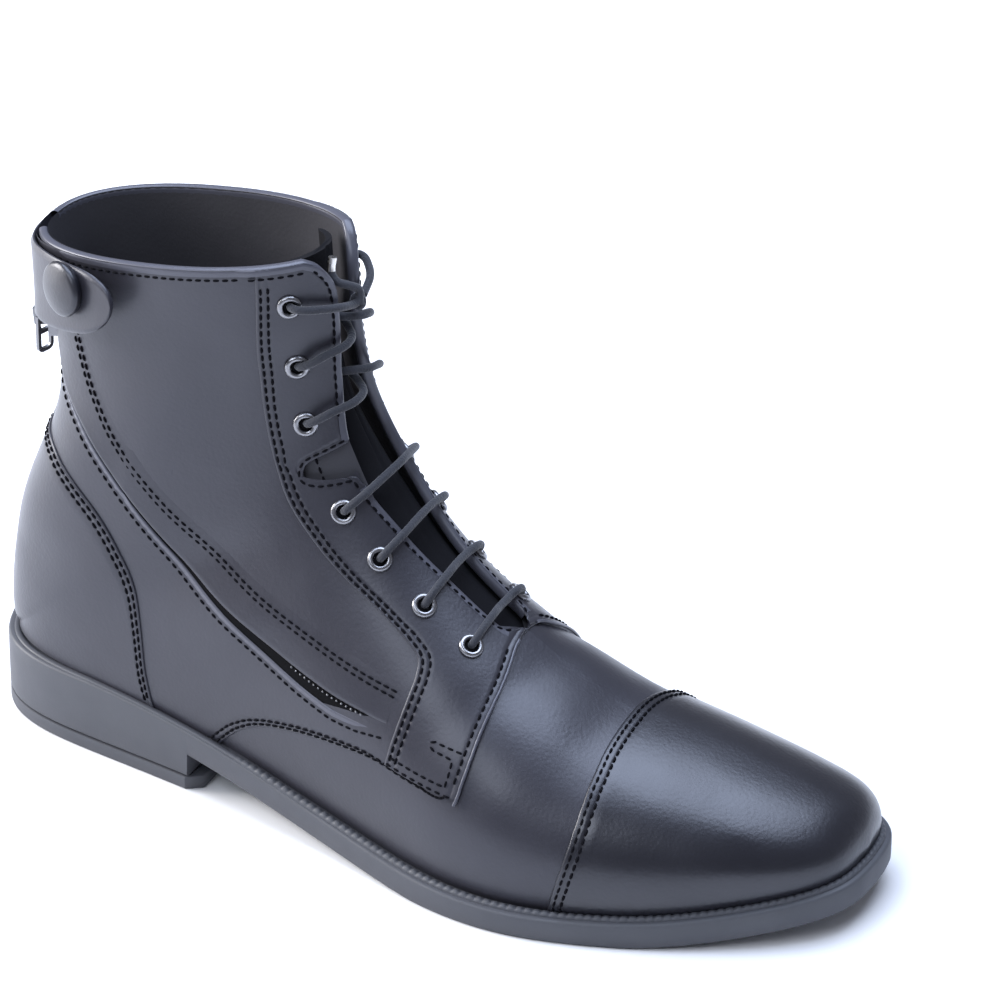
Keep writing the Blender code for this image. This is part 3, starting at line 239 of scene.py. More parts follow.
def last_point(section, around, side):
    """Points on the last's surface, on the lateral or medial side."""
    section, around = paired(section, around)
    rows = section_row(section)
    place = along_line(around, rows)
    x = column(rows, "foot_x") * (1.0 - place) + column(rows, "ridge_x") * place
    z = column(rows, "foot_z") * (1.0 - place) + column(rows, "ridge_z") * place
    y = column(rows, "centre_y") + side * half_width(place, rows, side)
    return np.stack([x, y, z], -1)


def surface_point(section, around):
    """Points on the last. Around runs from 0 to 1 on the lateral side and on to 2 on the medial side."""
    section, around = paired(section, around)
    turn = np.mod(around, 2.0)
    folded = np.where(turn > 1.0, 2.0 - turn, turn)
    lateral = last_point(section, folded, LATERAL)
    medial = last_point(section, folded, MEDIAL)
    return np.where((turn <= 1.0)[..., None], lateral, medial)


def surface_normal(section, around):
    """Outward unit normals of the last."""
    section, around = paired(section, around)
    section_step = 0.03
    around_step = 0.012
    turn = np.mod(around, 2.0)
    foot = section < HEEL_SECTION
    low = np.where(foot & (turn <= 1.0), np.maximum(turn - around_step, 0.0), turn - around_step)
    high = np.where(foot & (turn > 1.0), np.minimum(turn + around_step, 2.0 - 1e-9), turn + around_step)
    after = np.minimum(section + section_step, COLLAR_SECTION)
    before = np.maximum(section - section_step, 0.0)
    along = surface_point(after, turn) - surface_point(before, turn)
    across = surface_point(section, high) - surface_point(section, low)
    normal = unit(np.cross(along, across))
    rows = section_row(section)
    middle_x = (column(rows, "foot_x") + column(rows, "ridge_x")) / 2
    middle_z = (column(rows, "foot_z") + column(rows, "ridge_z")) / 2
    middle = np.stack([middle_x, column(rows, "centre_y"), middle_z], -1)
    inward = ((surface_point(section, turn) - middle) * normal).sum(-1, keepdims=True) < 0.0
    return np.where(inward, -normal, normal)


# Soft troughs (below 0) and ridges. Columns: section and around of each end, half width, height.
CREASES = (
    (6.35, 0.78, 6.35, 1.25, 15.0, -2.6),
    (8.35, 0.62, 7.25, 0.97, 8.0, -1.1),
    (7.35, 0.50, 6.75, 0.92, 9.0, 0.6),
    (12.3, 0.62, 13.6, 0.40, 9.0, -1.0),
    (11.2, 0.58, 12.2, 0.36, 9.0, 0.7),
    (16.4, 0.12, 15.7, 0.30, 8.0, -0.6),
    (19.4, 0.55, 15.4, 0.58, 12.0, -0.9),
    (18.6, 0.38, 15.0, 0.44, 11.0, 0.6),
    (8.35, 1.38, 7.25, 1.03, 8.0, -1.0),
    (12.3, 1.38, 13.6, 1.60, 9.0, -0.7),
    (18.2, 1.70, 17.6, 1.45, 10.0, -0.6),
)
# Share of a crease's height that is left at its ends
CREASE_END = 0.35


def relief(points):
    """Height of the creases at points on the last."""
    height = np.zeros(points.shape[:-1])
    for first_section, first_around, second_section, second_around, half, depth in CREASES:
        start = surface_point(first_section, first_around)
        way = surface_point(second_section, second_around) - start
        share = np.clip(((points - start) @ way) / (way @ way), 0.0, 1.0)
        apart = np.linalg.norm(points - start - share[..., None] * way, axis=-1)
        fade = CREASE_END + (1.0 - CREASE_END) * np.sin(np.pi * share)
        height += depth * np.exp(-(apart / half) ** 2) * fade
    return height


def surface(section, around, height=0.0):
    """Points lifted off the creased last along its normals."""
    point = surface_point(section, around)
    lift = np.broadcast_to(np.asarray(height, float), point.shape[:-1]) + relief(point)
    return point + surface_normal(section, around) * lift[..., None]


def smooth_path(points, per_span=8):
    """Dense points on a Catmull-Rom curve through a short table."""
    points = np.asarray(points, float)
    padded = np.vstack([2.0 * points[0] - points[1], points, 2.0 * points[-1] - points[-2]])
    dense = []
    for index in range(1, len(padded) - 2):
        p0, p1, p2, p3 = padded[index - 1:index + 3]
        for step in np.linspace(0.0, 1.0, per_span, endpoint=False):
            linear = 2.0 * p1 + (p2 - p0) * step
            square = (2.0 * p0 - 5.0 * p1 + 4.0 * p2 - p3) * step ** 2
            cube = (3.0 * p1 - p0 - 3.0 * p2 + p3) * step ** 3
            dense.append((linear + square + cube) / 2)
    dense.append(points[-1])
    return np.array(dense)


FACING_DENSE = smooth_path(FACING_EDGE)
AROUND_STEPS = np.linspace(0.0, 1.0, 1001)
FAN_STEPS = np.linspace(0.0, COLLAR_SECTION, 4201)
FAN_ROWS = section_row(FAN_STEPS)

# Side-view search: reach of a section line to each side of its middle, and the cost of lying past it
LINE_REACH = 0.52
PAST_LINE_COST = 100.0


def facing_around(section):
    """How far around the upper reaches: the ridge on the vamp, the facing's edge beside the throat."""
    return np.interp(section, FACING_DENSE[:, 0], FACING_DENSE[:, 1], left=1.0)


def on_last(points):
    """Section and around of points seen from the side."""
    foot_x, foot_z = column(FAN_ROWS, "foot_x"), column(FAN_ROWS, "foot_z")
    line_x, line_z = column(FAN_ROWS, "ridge_x") - foot_x, column(FAN_ROWS, "ridge_z") - foot_z
    found = []
    for x, z in points:
        gap = (line_x * (z - foot_z) - line_z * (x - foot_x)) / np.hypot(line_x, line_z)
        share = (line_x * (x - foot_x) + line_z * (z - foot_z)) / (line_x ** 2 + line_z ** 2)
        miss = np.abs(gap) + PAST_LINE_COST * np.maximum(np.abs(share - 0.5) - LINE_REACH, 0.0)
        nearest = int(np.argmin(miss))
        rows = FAN_ROWS[nearest]
        places = along_line(AROUND_STEPS, rows)
        found.append((FAN_STEPS[nearest], np.interp(share[nearest], places, AROUND_STEPS)))
    return np.array(found)


def seam(table, per_span=8):
    """Seam on the lateral side from a table of x and z."""
    return on_last(smooth_path(table, per_span))


def on_side(around, side):
    """Places around the lateral side as they are, or folded over to the medial side."""
    return around if side == LATERAL else 2.0 - np.maximum(around, SEAM_STEP)


def path_on_side(path, side):
    """A lateral path as it is, or mirrored to the medial side."""
    return path_of(path[:, 0], on_side(path[:, 1], side))


def path_lengths(path):
    """Distance along a path on the last, in millimetres."""
    return run_lengths(surface_point(*path.T))


def resampled(path, count):
    """A path at evenly spaced places."""
    lengths = path_lengths(path)
    return interpolated(np.linspace(0.0, lengths[-1], count), lengths, path)


def offset_line(points, distance):
    """A side-view line moved to its right by a distance that may change along it."""
    along = unit(np.gradient(points, axis=0))
    right = np.column_stack([along[:, 1], -along[:, 0]])
    return points + right * np.broadcast_to(distance, len(points))[:, None]


# Materials. Scales are features per metre, and bump distances are metres.
POLISH_SCALE = 45.0
WAVE_SCALE = 70.0
GRAIN_SCALE = 900.0
PORE_SCALE = 2600.0
SOFT_GRAIN_SCALE = 700.0
STIPPLE_SCALE = 1500.0
BRAID_SCALE = 1500.0
BRUSH_SCALE = 400.0
PATCH_SCALE = 60.0
# Bluish tint on the leather's reflections: a painted sheen standing in for reflected sky.
PAINTED_SKY_SHEEN_TINT = (0.88, 0.90, 1.0, 1.0)
# Bumps: strength and distance. The leather's own grain gives the strength of its grain and pores.
WAVE_BUMP = (0.25, 0.0006)
SOFT_GRAIN_BUMP = (0.2, 0.0003)
STIPPLE_BUMP = (0.25, 0.0002)
BRAID_BUMP = (0.6, 0.0004)
GRAIN_DISTANCE = 0.00025
PORE_DISTANCE = 0.00012
# How far the roughness moves below and above its value
POLISH_RANGE = (-0.05, 0.07)
BRUSH_RANGE = (-0.06, 0.08)
RUBBER_RANGE = (-0.07, 0.09)
# Range that most of a noise texture's values lie in
NOISE_LOW = 0.3
NOISE_HIGH = 0.7


def set_inputs(node, values):
    """Set input sockets of a node."""
    for name, value in values.items():
        node.inputs[name].default_value = value


def new_material(name, colour, roughness, metallic=0.0):
    """Principled material with its node tree and shader."""
    made = bpy.data.materials.new(name)
    made.use_nodes = True
    made.diffuse_color = (*colour, 1.0)
    shader = made.node_tree.nodes["Principled BSDF"]
    set_inputs(shader, {"Base Color": (*colour, 1.0), "Roughness": roughness, "Metallic": metallic})
    return made, made.node_tree, shader


def texture(tree, kind, scale):
    """Texture node in the boot's own coordinates."""
    place = tree.nodes.get("Place") or tree.nodes.new("ShaderNodeTexCoord")
    place.name = "Place"
    made = tree.nodes.new(kind)
    set_inputs(made, {"Scale": scale})
    tree.links.new(place.outputs["Object"], made.inputs["Vector"])
    return made


def noise(tree, scale, detail=2.0):
    """Value of a noise texture."""
    made = texture(tree, "ShaderNodeTexNoise", scale)
    set_inputs(made, {"Detail": detail})
    return made.outputs["Fac"]


def cells(tree, scale):
    """Value of a cell texture, for leather grain."""
    made = texture(tree, "ShaderNodeTexVoronoi", scale)
    made.feature = "SMOOTH_F1"
    return made.outputs["Distance"]


def bump(tree, shader, height, strength, distance):
    """Add a bump layer to a shader's normal."""
    node = tree.nodes.new("ShaderNodeBump")
    set_inputs(node, {"Strength": strength, "Distance": distance})
    tree.links.new(height, node.inputs["Height"])
    socket = shader.inputs["Normal"]
    if socket.is_linked:
        tree.links.new(socket.links[0].from_socket, node.inputs["Normal"])
    tree.links.new(node.outputs["Normal"], socket)


def vary_roughness(tree, shader, source, roughness, reach):
    """Let a texture move a shader's roughness below and above its value."""
    low, high = roughness + reach[0], roughness + reach[1]
    node = tree.nodes.new("ShaderNodeMapRange")
    set_inputs(node, {"From Min": NOISE_LOW, "From Max": NOISE_HIGH, "To Min": low, "To Max": high})
    tree.links.new(source, node.inputs["Value"])
    tree.links.new(node.outputs["Result"], shader.inputs["Roughness"])


def leather(name, colour, roughness, grain, coat):
    """Black leather: fine grain, soft waves and a thin polish."""
    made, tree, shader = new_material(name, colour, roughness)
    vary_roughness(tree, shader, noise(tree, POLISH_SCALE, detail=3.0), roughness, POLISH_RANGE)
    # The specular tint paints a bluish sheen of reflected sky onto the leather.
    set_inputs(shader, {"Specular IOR Level": 0.5, "Specular Tint": PAINTED_SKY_SHEEN_TINT})
    set_inputs(shader, {"Coat Weight": coat, "Coat Roughness": 0.28})
    bump(tree, shader, noise(tree, WAVE_SCALE), *WAVE_BUMP)
    bump(tree, shader, cells(tree, GRAIN_SCALE), grain, GRAIN_DISTANCE)
    bump(tree, shader, noise(tree, PORE_SCALE), grain, PORE_DISTANCE)
    return made


def dull(name, colour, roughness):
    """Soft leather, thread or near-black painted shade in holes and gaps, without polish."""
    made, tree, shader = new_material(name, colour, roughness)
    set_inputs(shader, {"Specular IOR Level": 0.12})
    bump(tree, shader, cells(tree, SOFT_GRAIN_SCALE), *SOFT_GRAIN_BUMP)
    return made


def rubber(name, colour, roughness):
    """Rubber of the sole, matt with a fine stipple."""
    made, tree, shader = new_material(name, colour, roughness)
    vary_roughness(tree, shader, noise(tree, PATCH_SCALE, detail=3.0), roughness, RUBBER_RANGE)
    bump(tree, shader, noise(tree, STIPPLE_SCALE, detail=3.0), *STIPPLE_BUMP)
    return made


def braid(name, colour, roughness):
    """Braided lace."""
    made, tree, shader = new_material(name, colour, roughness)
    set_inputs(shader, {"Sheen Weight": 0.25})
    bump(tree, shader, noise(tree, BRAID_SCALE, detail=1.0), *BRAID_BUMP)
    return made


def metal(name, colour, roughness):
    """Plain or darkened metal."""
    made, tree, shader = new_material(name, colour, roughness, metallic=1.0)
    vary_roughness(tree, shader, noise(tree, BRUSH_SCALE), roughness, BRUSH_RANGE)
    return made


# Each look has its slot, its maker and the maker's values: colour, roughness, grain and coat.
LOOKS = {
    "leather": ("black_leather", leather, (0.022, 0.0215, 0.0285), 0.40, 0.22, 0.24),
    "cap_leather": ("black_leather", leather, (0.008, 0.008, 0.012), 0.33, 0.24, 0.38),
    # Paler, bluer leather on rims, rolled edges and the zip's lip: the black leather with a painted
    # highlight.
    "smooth_leather": ("black_leather", leather, (0.062, 0.063, 0.080), 0.36, 0.08, 0.2),
    # Tongue leather painted darker than the upper's: painted shade deep under the throat.
    "tongue_leather": ("black_leather", dull, (0.007, 0.007, 0.009), 0.9),
    "lining": ("dark_lining", leather, (0.036, 0.035, 0.040), 0.58, 0.15, 0.0),
    "rubber": ("black_rubber", rubber, (0.062, 0.065, 0.077), 0.55),
    "eyelet_metal": ("gunmetal", metal, (0.26, 0.26, 0.275), 0.27),
    "zip_metal": ("gunmetal", metal, (0.20, 0.20, 0.21), 0.30),
    "lace": ("black_lace", braid, (0.015, 0.017, 0.026), 0.75),
    "thread": ("black_lace", dull, (0.003, 0.003, 0.005), 0.9),
    # Near-black, no polish: painted shade in the eyelet holes and the zip's gap.
    "dark": ("dark_lining", dull, (0.002, 0.002, 0.003), 0.9),
    "aglet": ("gunmetal", metal, (0.75, 0.73, 0.70), 0.25),
}
MATERIALS = {look: (maker(look, *values), slot) for look, (slot, maker, *values) in LOOKS.items()}


# Mesh helpers

def new_object(name, data):
    """Object placed in the scene."""
    made = bpy.data.objects.new(name, data)
    bpy.context.scene.collection.objects.link(made)
    return made


def mesh_object(name, points, faces, look, sharp=50.0):
    """Named smooth mesh from points in millimetres, riding on the boot."""
    mesh = bpy.data.meshes.new(name)
    placed = (np.asarray(points, float).reshape(-1, 3) + FRAME_SHIFT) * MM
    mesh.from_pydata(placed.tolist(), [], [list(map(int, face)) for face in faces])
    mesh.update()
    mesh.shade_smooth()
    mesh.set_sharp_from_angle(angle=math.radians(sharp))
    made = new_object(name, mesh)
    material, slot = MATERIALS[look]
    mesh.materials.append(material)
    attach(made, "boot")
    return made


def grid_quads(rows, columns, wrap_rows=False, wrap_columns=False, start=0):
    """Quads of a grid whose points are listed row by row."""
    index = start + np.arange(rows * columns).reshape(rows, columns)
    if wrap_rows:
        index = np.vstack([index, index[:1]])
    if wrap_columns:
        index = np.hstack([index, index[:, :1]])
    corners = [index[:-1, :-1], index[1:, :-1], index[1:, 1:], index[:-1, 1:]]
    return np.stack(corners, -1).reshape(-1, 4)


def circle(count):
    """Cosines and sines of even places around a circle, as columns."""
    angles = 2.0 * np.pi * np.arange(count) / count
    return np.cos(angles)[:, None], np.sin(angles)[:, None]


def grid_object(name, points, look, flip=False):
    """Smooth mesh from a grid of points, rows by columns."""
    quads = grid_quads(*points.shape[:2])
    return mesh_object(name, points, quads[:, ::-1] if flip else quads, look)


def outward_object(name, points, out, look, keep=None):
    """Mesh of a grid of points whose faces look along the outward directions, less those not kept."""
    quads = grid_quads(*points.shape[:2])
    flat = points.reshape(-1, 3)
    middle = quads[len(quads) // 2]
    a, b, c = flat[middle[:3]]
    if np.cross(b - a, c - a) @ out.reshape(-1, 3)[middle[0]] < 0.0:
        quads = quads[:, ::-1]
    if keep is not None:
        quads = quads[keep(flat[quads].mean(axis=1))]
    return mesh_object(name, points, quads, look)


def loft(name, rings, look):
    """Closed bar through rings of points."""
    rings = np.asarray(rings, float)
    count, corners = rings.shape[:2]
    faces = [list(face) for face in grid_quads(count, corners, wrap_columns=True)]
    faces.append(list(range(corners)))
    faces.append(list(range(count * corners - 1, (count - 1) * corners - 1, -1)))
    return mesh_object(name, rings, faces, look)


# Edges of a leather layer. Rows are the distance from its edge and the height from its face.
CUT_EDGE = np.array(((0.0, -1.3), (0.0, -0.42), (0.10, -0.18), (0.34, -0.04), (0.8, 0.0)))
FLUSH_EDGE = np.array(((0.0, 0.0),))
FOLD_EDGE = np.array(((0.0, -1.6), (-0.15, -0.95), (0.0, -0.45), (0.3, -0.12), (0.8, 0.0), (1.4, 0.05)))
STITCH_TROUGH = np.array(((-0.75, 0.0), (-0.3, -0.16), (0.0, -0.22), (0.3, -0.16), (0.75, 0.0)))
# Most of the way across a panel that one edge's profile may take, and where the second edge is measured
EDGE_SHARE = 0.45
SECOND_EDGE_SHARE = 0.99


def stitched(edge, places):
    """Edge rows with a shallow trough under each row of stitches."""
    return np.vstack([edge] + [STITCH_TROUGH + (place, 0.0) for place in places])


def straight(section, around):
    """No change to a panel's own coordinates."""
    return section, around


def along_facing(section, around):
    """Share of the way to the facing's edge, turned into a place around."""
    reach = facing_around(section)
    return section, np.where(around > 1.0, 2.0 - (2.0 - around) * reach, around * reach)


def between(first, second, share, fit):
    """Places between two paths, each a share of the way across."""
    places = first[:, None] + (second - first)[:, None] * share[..., None]
    return fit(places[..., 0], places[..., 1])


def cross_reach(first, second, fit, share):
    """Millimetres for each share of the way across, near one edge."""
    step = 0.01
    shares = np.tile([share, share + step], (len(first), 1))
    points = surface_point(*between(first, second, shares, fit))
    return np.maximum(np.linalg.norm(points[:, 1] - points[:, 0], axis=1) / step, 1e-3)


def edge_shares(edge, reach):
    """Distances of an edge's profile as shares of the way across each row."""
    share = edge[:, 0] / reach[:, None]
    most = np.maximum(np.abs(share).max(axis=1), 1e-9)
    return share * np.minimum(1.0, EDGE_SHARE / most)[:, None]


def panel(name, first, second, height, first_edge, second_edge, look, columns, fit=straight, keep=None,
          far_height=None):
    """Leather layer between two paths, with the profile of each edge. Heights may change along it."""
    near = edge_shares(first_edge, cross_reach(first, second, fit, 0.0))
    far = edge_shares(second_edge, cross_reach(first, second, fit, SECOND_EDGE_SHARE))
    spread = np.linspace(0.0, 1.0, columns + 2)[1:-1]
    start, end = near[:, -1:], 1.0 - far[:, -1:]
    share = np.hstack([near, start + (end - start) * spread, 1.0 - far[:, ::-1]])
    profile = np.concatenate([first_edge[:, 1], np.zeros(columns), second_edge[::-1, 1]])
    low = np.reshape(height, (-1, 1))
    high = low if far_height is None else np.reshape(far_height, (-1, 1))
    section, around = between(first, second, share, fit)
    points = surface(section, around, profile + low + (high - low) * share)
    return outward_object(name, points, surface_normal(section, around), look, keep)


def inset(first, second, distance, fit=straight):
    """Path on a panel at a distance from its first edge."""
    share = distance / cross_reach(first, second, fit, 0.0)
    section, around = between(first, second, share[:, None], fit)
    return np.column_stack([section[:, 0], around[:, 0]])


# Stitches
STITCH_PITCH = 2.9
STITCH_LENGTH = 2.25
STITCH_WIDTH = 0.8
STITCH_SIDES = 6
# Rings of a stitch. Columns: place along it, width and rise.
STITCH_RINGS = (
    (-0.5, 0.25, -0.5), (-0.36, 0.8, 0.1), (-0.12, 1.0, 0.3), (0.12, 1.0, 0.3), (0.36, 0.8, 0.1),
    (0.5, 0.25, -0.5),
)
# Half the chord that gives a stitch its direction, as a share of its length
STITCH_CHORD = 0.4
SEAM_SPACING = 0.7
# Stitches placed so far, by group
sewn = {}


def sew(group, path, height):
    """Place a row of stitches along a path on the last."""
    section, around = resampled(path, max(8, int(path_lengths(path)[-1] / SEAM_SPACING))).T
    sew_points(group, surface(section, around, height), surface_normal(section, around))


def sew_points(group, points, normals, pitch=STITCH_PITCH, length=STITCH_LENGTH):
    """Place a row of stitches along points with normals."""
    lengths = run_lengths(points)
    count = int(lengths[-1] / pitch)
    if count < 1:
        return
    middle = (np.arange(count) + 0.5) * lengths[-1] / count
    chord = STITCH_CHORD * length
    behind, centre, ahead = (interpolated(middle + shift, lengths, points) for shift in (-chord, 0.0, chord))
    along = unit(ahead - behind)
    out = unit(square_to(interpolated(middle, lengths, normals), along))
    sewn.setdefault(group, []).append((centre, along, np.cross(out, along), out, length))


def make_stitches(group, look="thread"):
    """One mesh of all the stitches of a group."""
    cosines, sines = circle(STITCH_SIDES)
    radius = STITCH_WIDTH / 2
    template = np.vstack([
        np.hstack([np.full_like(sines, along), cosines * wide * radius, (sines * wide + rise) * radius])
        for along, wide, rise in STITCH_RINGS
    ])
    pattern = grid_quads(len(STITCH_RINGS), STITCH_SIDES, wrap_columns=True)
    points = []
    for centre, along, side, out, length in sewn[group]:
        placed = (centre[:, None] + along[:, None] * template[:, :1] * length
                  + side[:, None] * template[:, 1:2] + out[:, None] * template[:, 2:])
        points.append(placed.reshape(-1, 3))
    points = np.vstack(points)
    starts = np.arange(0, len(points), len(template))
    faces = (pattern + starts[:, None, None]).reshape(-1, 4)
    return mesh_object(group, points, faces, look, sharp=80.0)


def sewn_panel(name, group, first, second, height, edge, second_edge, look, columns, fit=straight, keep=None,
               rows=slice(None)):
    """Panel whose first edge has two rows of stitches."""
    for distance in DOUBLE_ROWS:
        sew(group, inset(first, second, distance, fit)[rows], height)
    first_edge = stitched(edge, DOUBLE_ROWS)
    return panel(name, first, second, height, first_edge, second_edge, look, columns, fit, keep)


# Leather layers. Heights are millimetres above the last.
QUARTER_HEIGHT = 0.65
CAP_HEIGHT = 1.15
COUNTER_HEIGHT = 1.3
EYESTAY_HEIGHT = 1.35
FLAP_HEIGHT = 1.75
STAY_HEIGHT = 1.75
GUSSET_DEPTH = -0.9
LINING_DEPTH = -2.1
# Distances of stitch rows from an edge
DOUBLE_ROWS = (1.5, 3.8)
SINGLE_ROW = 2.3
NOTCH_ROW = 1.2
COLLAR_ROW = 3.4
# Share of a quarter's lower and front edge that is stitched, the rest lying under the eyestay
QUARTER_SEWN = 0.66
# Ends of sheets, as sections
VAMP_SECTIONS = (5.7, 12.4)
THROAT_FOOT = 8.05
LINING_FRONT = 0.2
LINING_SPLIT = 7.9
TOE_TIP = 0.03
BACK_STAY_SECTIONS = (15.9, 19.55)
# Share of the way to the facing's edge that the lining covers
LINING_REACH = 0.995
# Half the back stay's width, as a place around
BACK_STAY_HALF = 0.032
# Soft leather behind the flex notch and the ends of its seam
GUSSET_SECTIONS = (11.6, 14.1)
GUSSET_AROUND = (0.66, 0.87)
GUSSET_SEAM = ((12.2, 0.765), (13.6, 0.775))
GUSSET_STITCH_RISE = 0.15
# Heights at which the eyestay's rear seam is matched with its front edge, and rows in each part
EYESTAY_BREAKS = (187.5, 134.5, 108.2, 76.2, 41.0)
EYESTAY_ROWS = (50, 46, 46, 30)
RIM_DIAMETER = 1.1
RIM_SEAT = 0.35
# Stitched hook and lower row on the foot of the eyestay, seen from the side. Columns: x and z.
FOOT_HOOK = (
    (189.2, 51.6), (179.6, 53.2), (178.4, 52.4), (179.6, 51.2), (185.6, 49.9), (186.5, 48.8), (186.3, 43.4),
    (185.2, 42.6), (175.0, 43.8), (165.5, 45.2),
)
FOOT_ROW = ((188.8, 39.9), (175.0, 41.5), (164.0, 43.0))
NOTCH_CLEAR = (
    (150.0, 130.5), (128.0, 130.0), (118.0, 123.4), (116.9, 118.8), (118.0, 114.6), (123.5, 113.5),
    (131.0, 114.6), (137.0, 112.2), (150.0, 112.0),
)


def in_outline(points, outline):
    """Which points lie inside a side-view outline."""
    x, z = points[..., 0], points[..., 2]
    inside = np.zeros(x.shape, bool)
    corners = list(outline)
    for (x0, z0), (x1, z1) in zip(corners, corners[1:] + corners[:1]):
        crosses = (z0 > z) != (z1 > z)
        reach = x0 + (z - z0) * (x1 - x0) / (z1 - z0 if z1 != z0 else 1e-9)
        inside ^= crosses & (x < reach)
    return inside


def clear_of_notch(points):
    """Faces to keep beside the flex notch."""
    return ~in_outline(points, NOTCH_CLEAR)


def facing_sheets(name, sections, shares, height, look, flipped):
    """Sheets from the foot to the ridge or the facing's edge, one on each side, with one of them flipped."""
    section, share = np.meshgrid(sections, shares, indexing="ij")
    for word, side in SIDES:
        around = on_side(share * facing_around(section), side)
        grid_object(name + word, surface(section, around, height), look, flip=side == flipped)


def make_vamp():
    """Forepart under the quarters, from the toe cap to the waist."""
    facing_sheets("vamp_", np.linspace(*VAMP_SECTIONS, 96), np.linspace(0.0, 1.0, 48), 0.0, "leather", MEDIAL)


def make_lining():
    """Lining of the shaft and the foot, seen through the collar and the throat."""
    sections = np.linspace(LINING_SPLIT, COLLAR_SECTION, 90)
    facing_sheets("lining_", sections, np.linspace(0.0, LINING_REACH, 40), LINING_DEPTH, "lining", LATERAL)
    fore = np.linspace(LINING_FRONT, LINING_SPLIT, 40)
    section, around = np.meshgrid(fore, np.linspace(0.0, 2.0 - SEAM_STEP, 60), indexing="ij")
    grid_object("lining_fore", surface(section, around, LINING_DEPTH), "lining", flip=True)


def quarter_edge(side):
    """Lower and front edge of a quarter, as section and share of the way to the facing."""
    path = np.vstack([seam(QUARTER_BOTTOM)[:-1], seam(QUARTER_FRONT)])
    path[0, 1] = 0.0
    share = np.maximum.accumulate(np.clip(path[:, 1] / facing_around(path[:, 0]), 0.0, 1.0))
    share[-1] = 1.0
    rows = resampled(path_of(path[:, 0], share), 190)
    if side == MEDIAL:
        rows[:, 1] = np.maximum(on_side(rows[:, 1], side), 1.0 + SEAM_STEP)
    return rows


def make_quarter(word, side):
    """Side panel from the vamp and the sole up to the collar, with its facing."""
    first = quarter_edge(side)
    second = path_of(COLLAR_SECTION, first[:, 1])
    keep = clear_of_notch if side == LATERAL else None
    rows = slice(int(len(first) * QUARTER_SEWN))
    return sewn_panel("quarter_" + word, "stitches_quarters", first, second, QUARTER_HEIGHT, CUT_EDGE,
                      FLUSH_EDGE, "leather", columns=110, fit=along_facing, keep=keep, rows=rows)


def make_toe_cap():
    """Second layer of leather over the toe, with two rows of stitches and a strip that closes its tip."""
    half = seam(TOE_CAP_EDGE)[::-1]
    half[0, 1] = 0.0
    half[-1, 1] = 1.0
    edge = resampled(np.vstack([half, path_on_side(half, MEDIAL)[::-1][1:]]), 130)
    tip = path_of(TOE_TIP, edge[:, 1])
    made = sewn_panel("toe_cap_leather", "stitches_toe_cap", edge, tip, CAP_HEIGHT, FOLD_EDGE, FLUSH_EDGE,
                      "cap_leather", columns=60)
    rise = np.linspace(0.0, 1.0, 16)
    sides = [surface(TOE_TIP, on_side(rise, side), CAP_HEIGHT) for _, side in SIDES]
    grid_object("toe_tip", np.stack(sides, axis=1), "cap_leather")
    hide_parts("toe_cap")


def make_counter():
    """Heel counter from the outer side of the heel around the back to the inner side."""
    half = seam(COUNTER_EDGE)[::-1]
    half[[0, -1], 1] = 0.0
    inner = path_of(half[:, 0], -np.maximum(half[:, 1], SEAM_STEP))[::-1]
    edge = resampled(np.vstack([half, inner[1:]]), 170)
    reach = path_lengths(edge)
    back = int(np.argmax(edge[:, 0]))
    ends = (edge[0, 0], HEEL_SECTION, edge[-1, 0])
    outer = np.arange(len(edge)) <= back
    foot = path_of(np.interp(reach, (0.0, reach[back], reach[-1]), ends), np.where(outer, 0.0, -SEAM_STEP))
    made = sewn_panel("counter_leather", "stitches_counter", edge, foot, COUNTER_HEIGHT, CUT_EDGE, FLUSH_EDGE,
                      "leather", columns=44, rows=slice(3, -3))
    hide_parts("counter")


def make_gusset():
    """Soft leather seen through the flex notch, with its seam."""
    sections, spread = np.linspace(*GUSSET_SECTIONS, 40), np.linspace(*GUSSET_AROUND, 30)
    section, around = np.meshgrid(sections, spread, indexing="ij")
    grid_object("notch_gusset", surface(section, around, GUSSET_DEPTH), "lining")
    sew("stitches_eyestays", np.linspace(*GUSSET_SEAM, 20), GUSSET_DEPTH + GUSSET_STITCH_RISE)


def facing_path(start, end, count=40):
    """Facing's edge between two sections."""
    sections = np.linspace(start, end, count)
    return path_of(sections, facing_around(sections))


def eyestay_edges():
    """Rear seam and front edge of an eyestay, matched part by part, and the last row of each part."""
    rear = smooth_path(EYESTAY_REAR)
    cuts = [int(np.argmin(np.abs(rear[:, 1] - z))) for z in EYESTAY_BREAKS]
    notch = seam(FLEX_NOTCH)
    front = seam(QUARTER_FRONT)[::-1]
    facing = (facing_path(COLLAR_SECTION, notch[0, 0]), notch, facing_path(notch[-1, 0], front[0, 0]), front)
    first, second = [], []
    for index, count in enumerate(EYESTAY_ROWS):
        piece = on_last(rear[cuts[index]:cuts[index + 1] + 1])
        first.append(resampled(piece, count)[:-1])
        second.append(resampled(facing[index], count)[:-1])
    return np.vstack(first), np.vstack(second), np.cumsum([count - 1 for count in EYESTAY_ROWS])


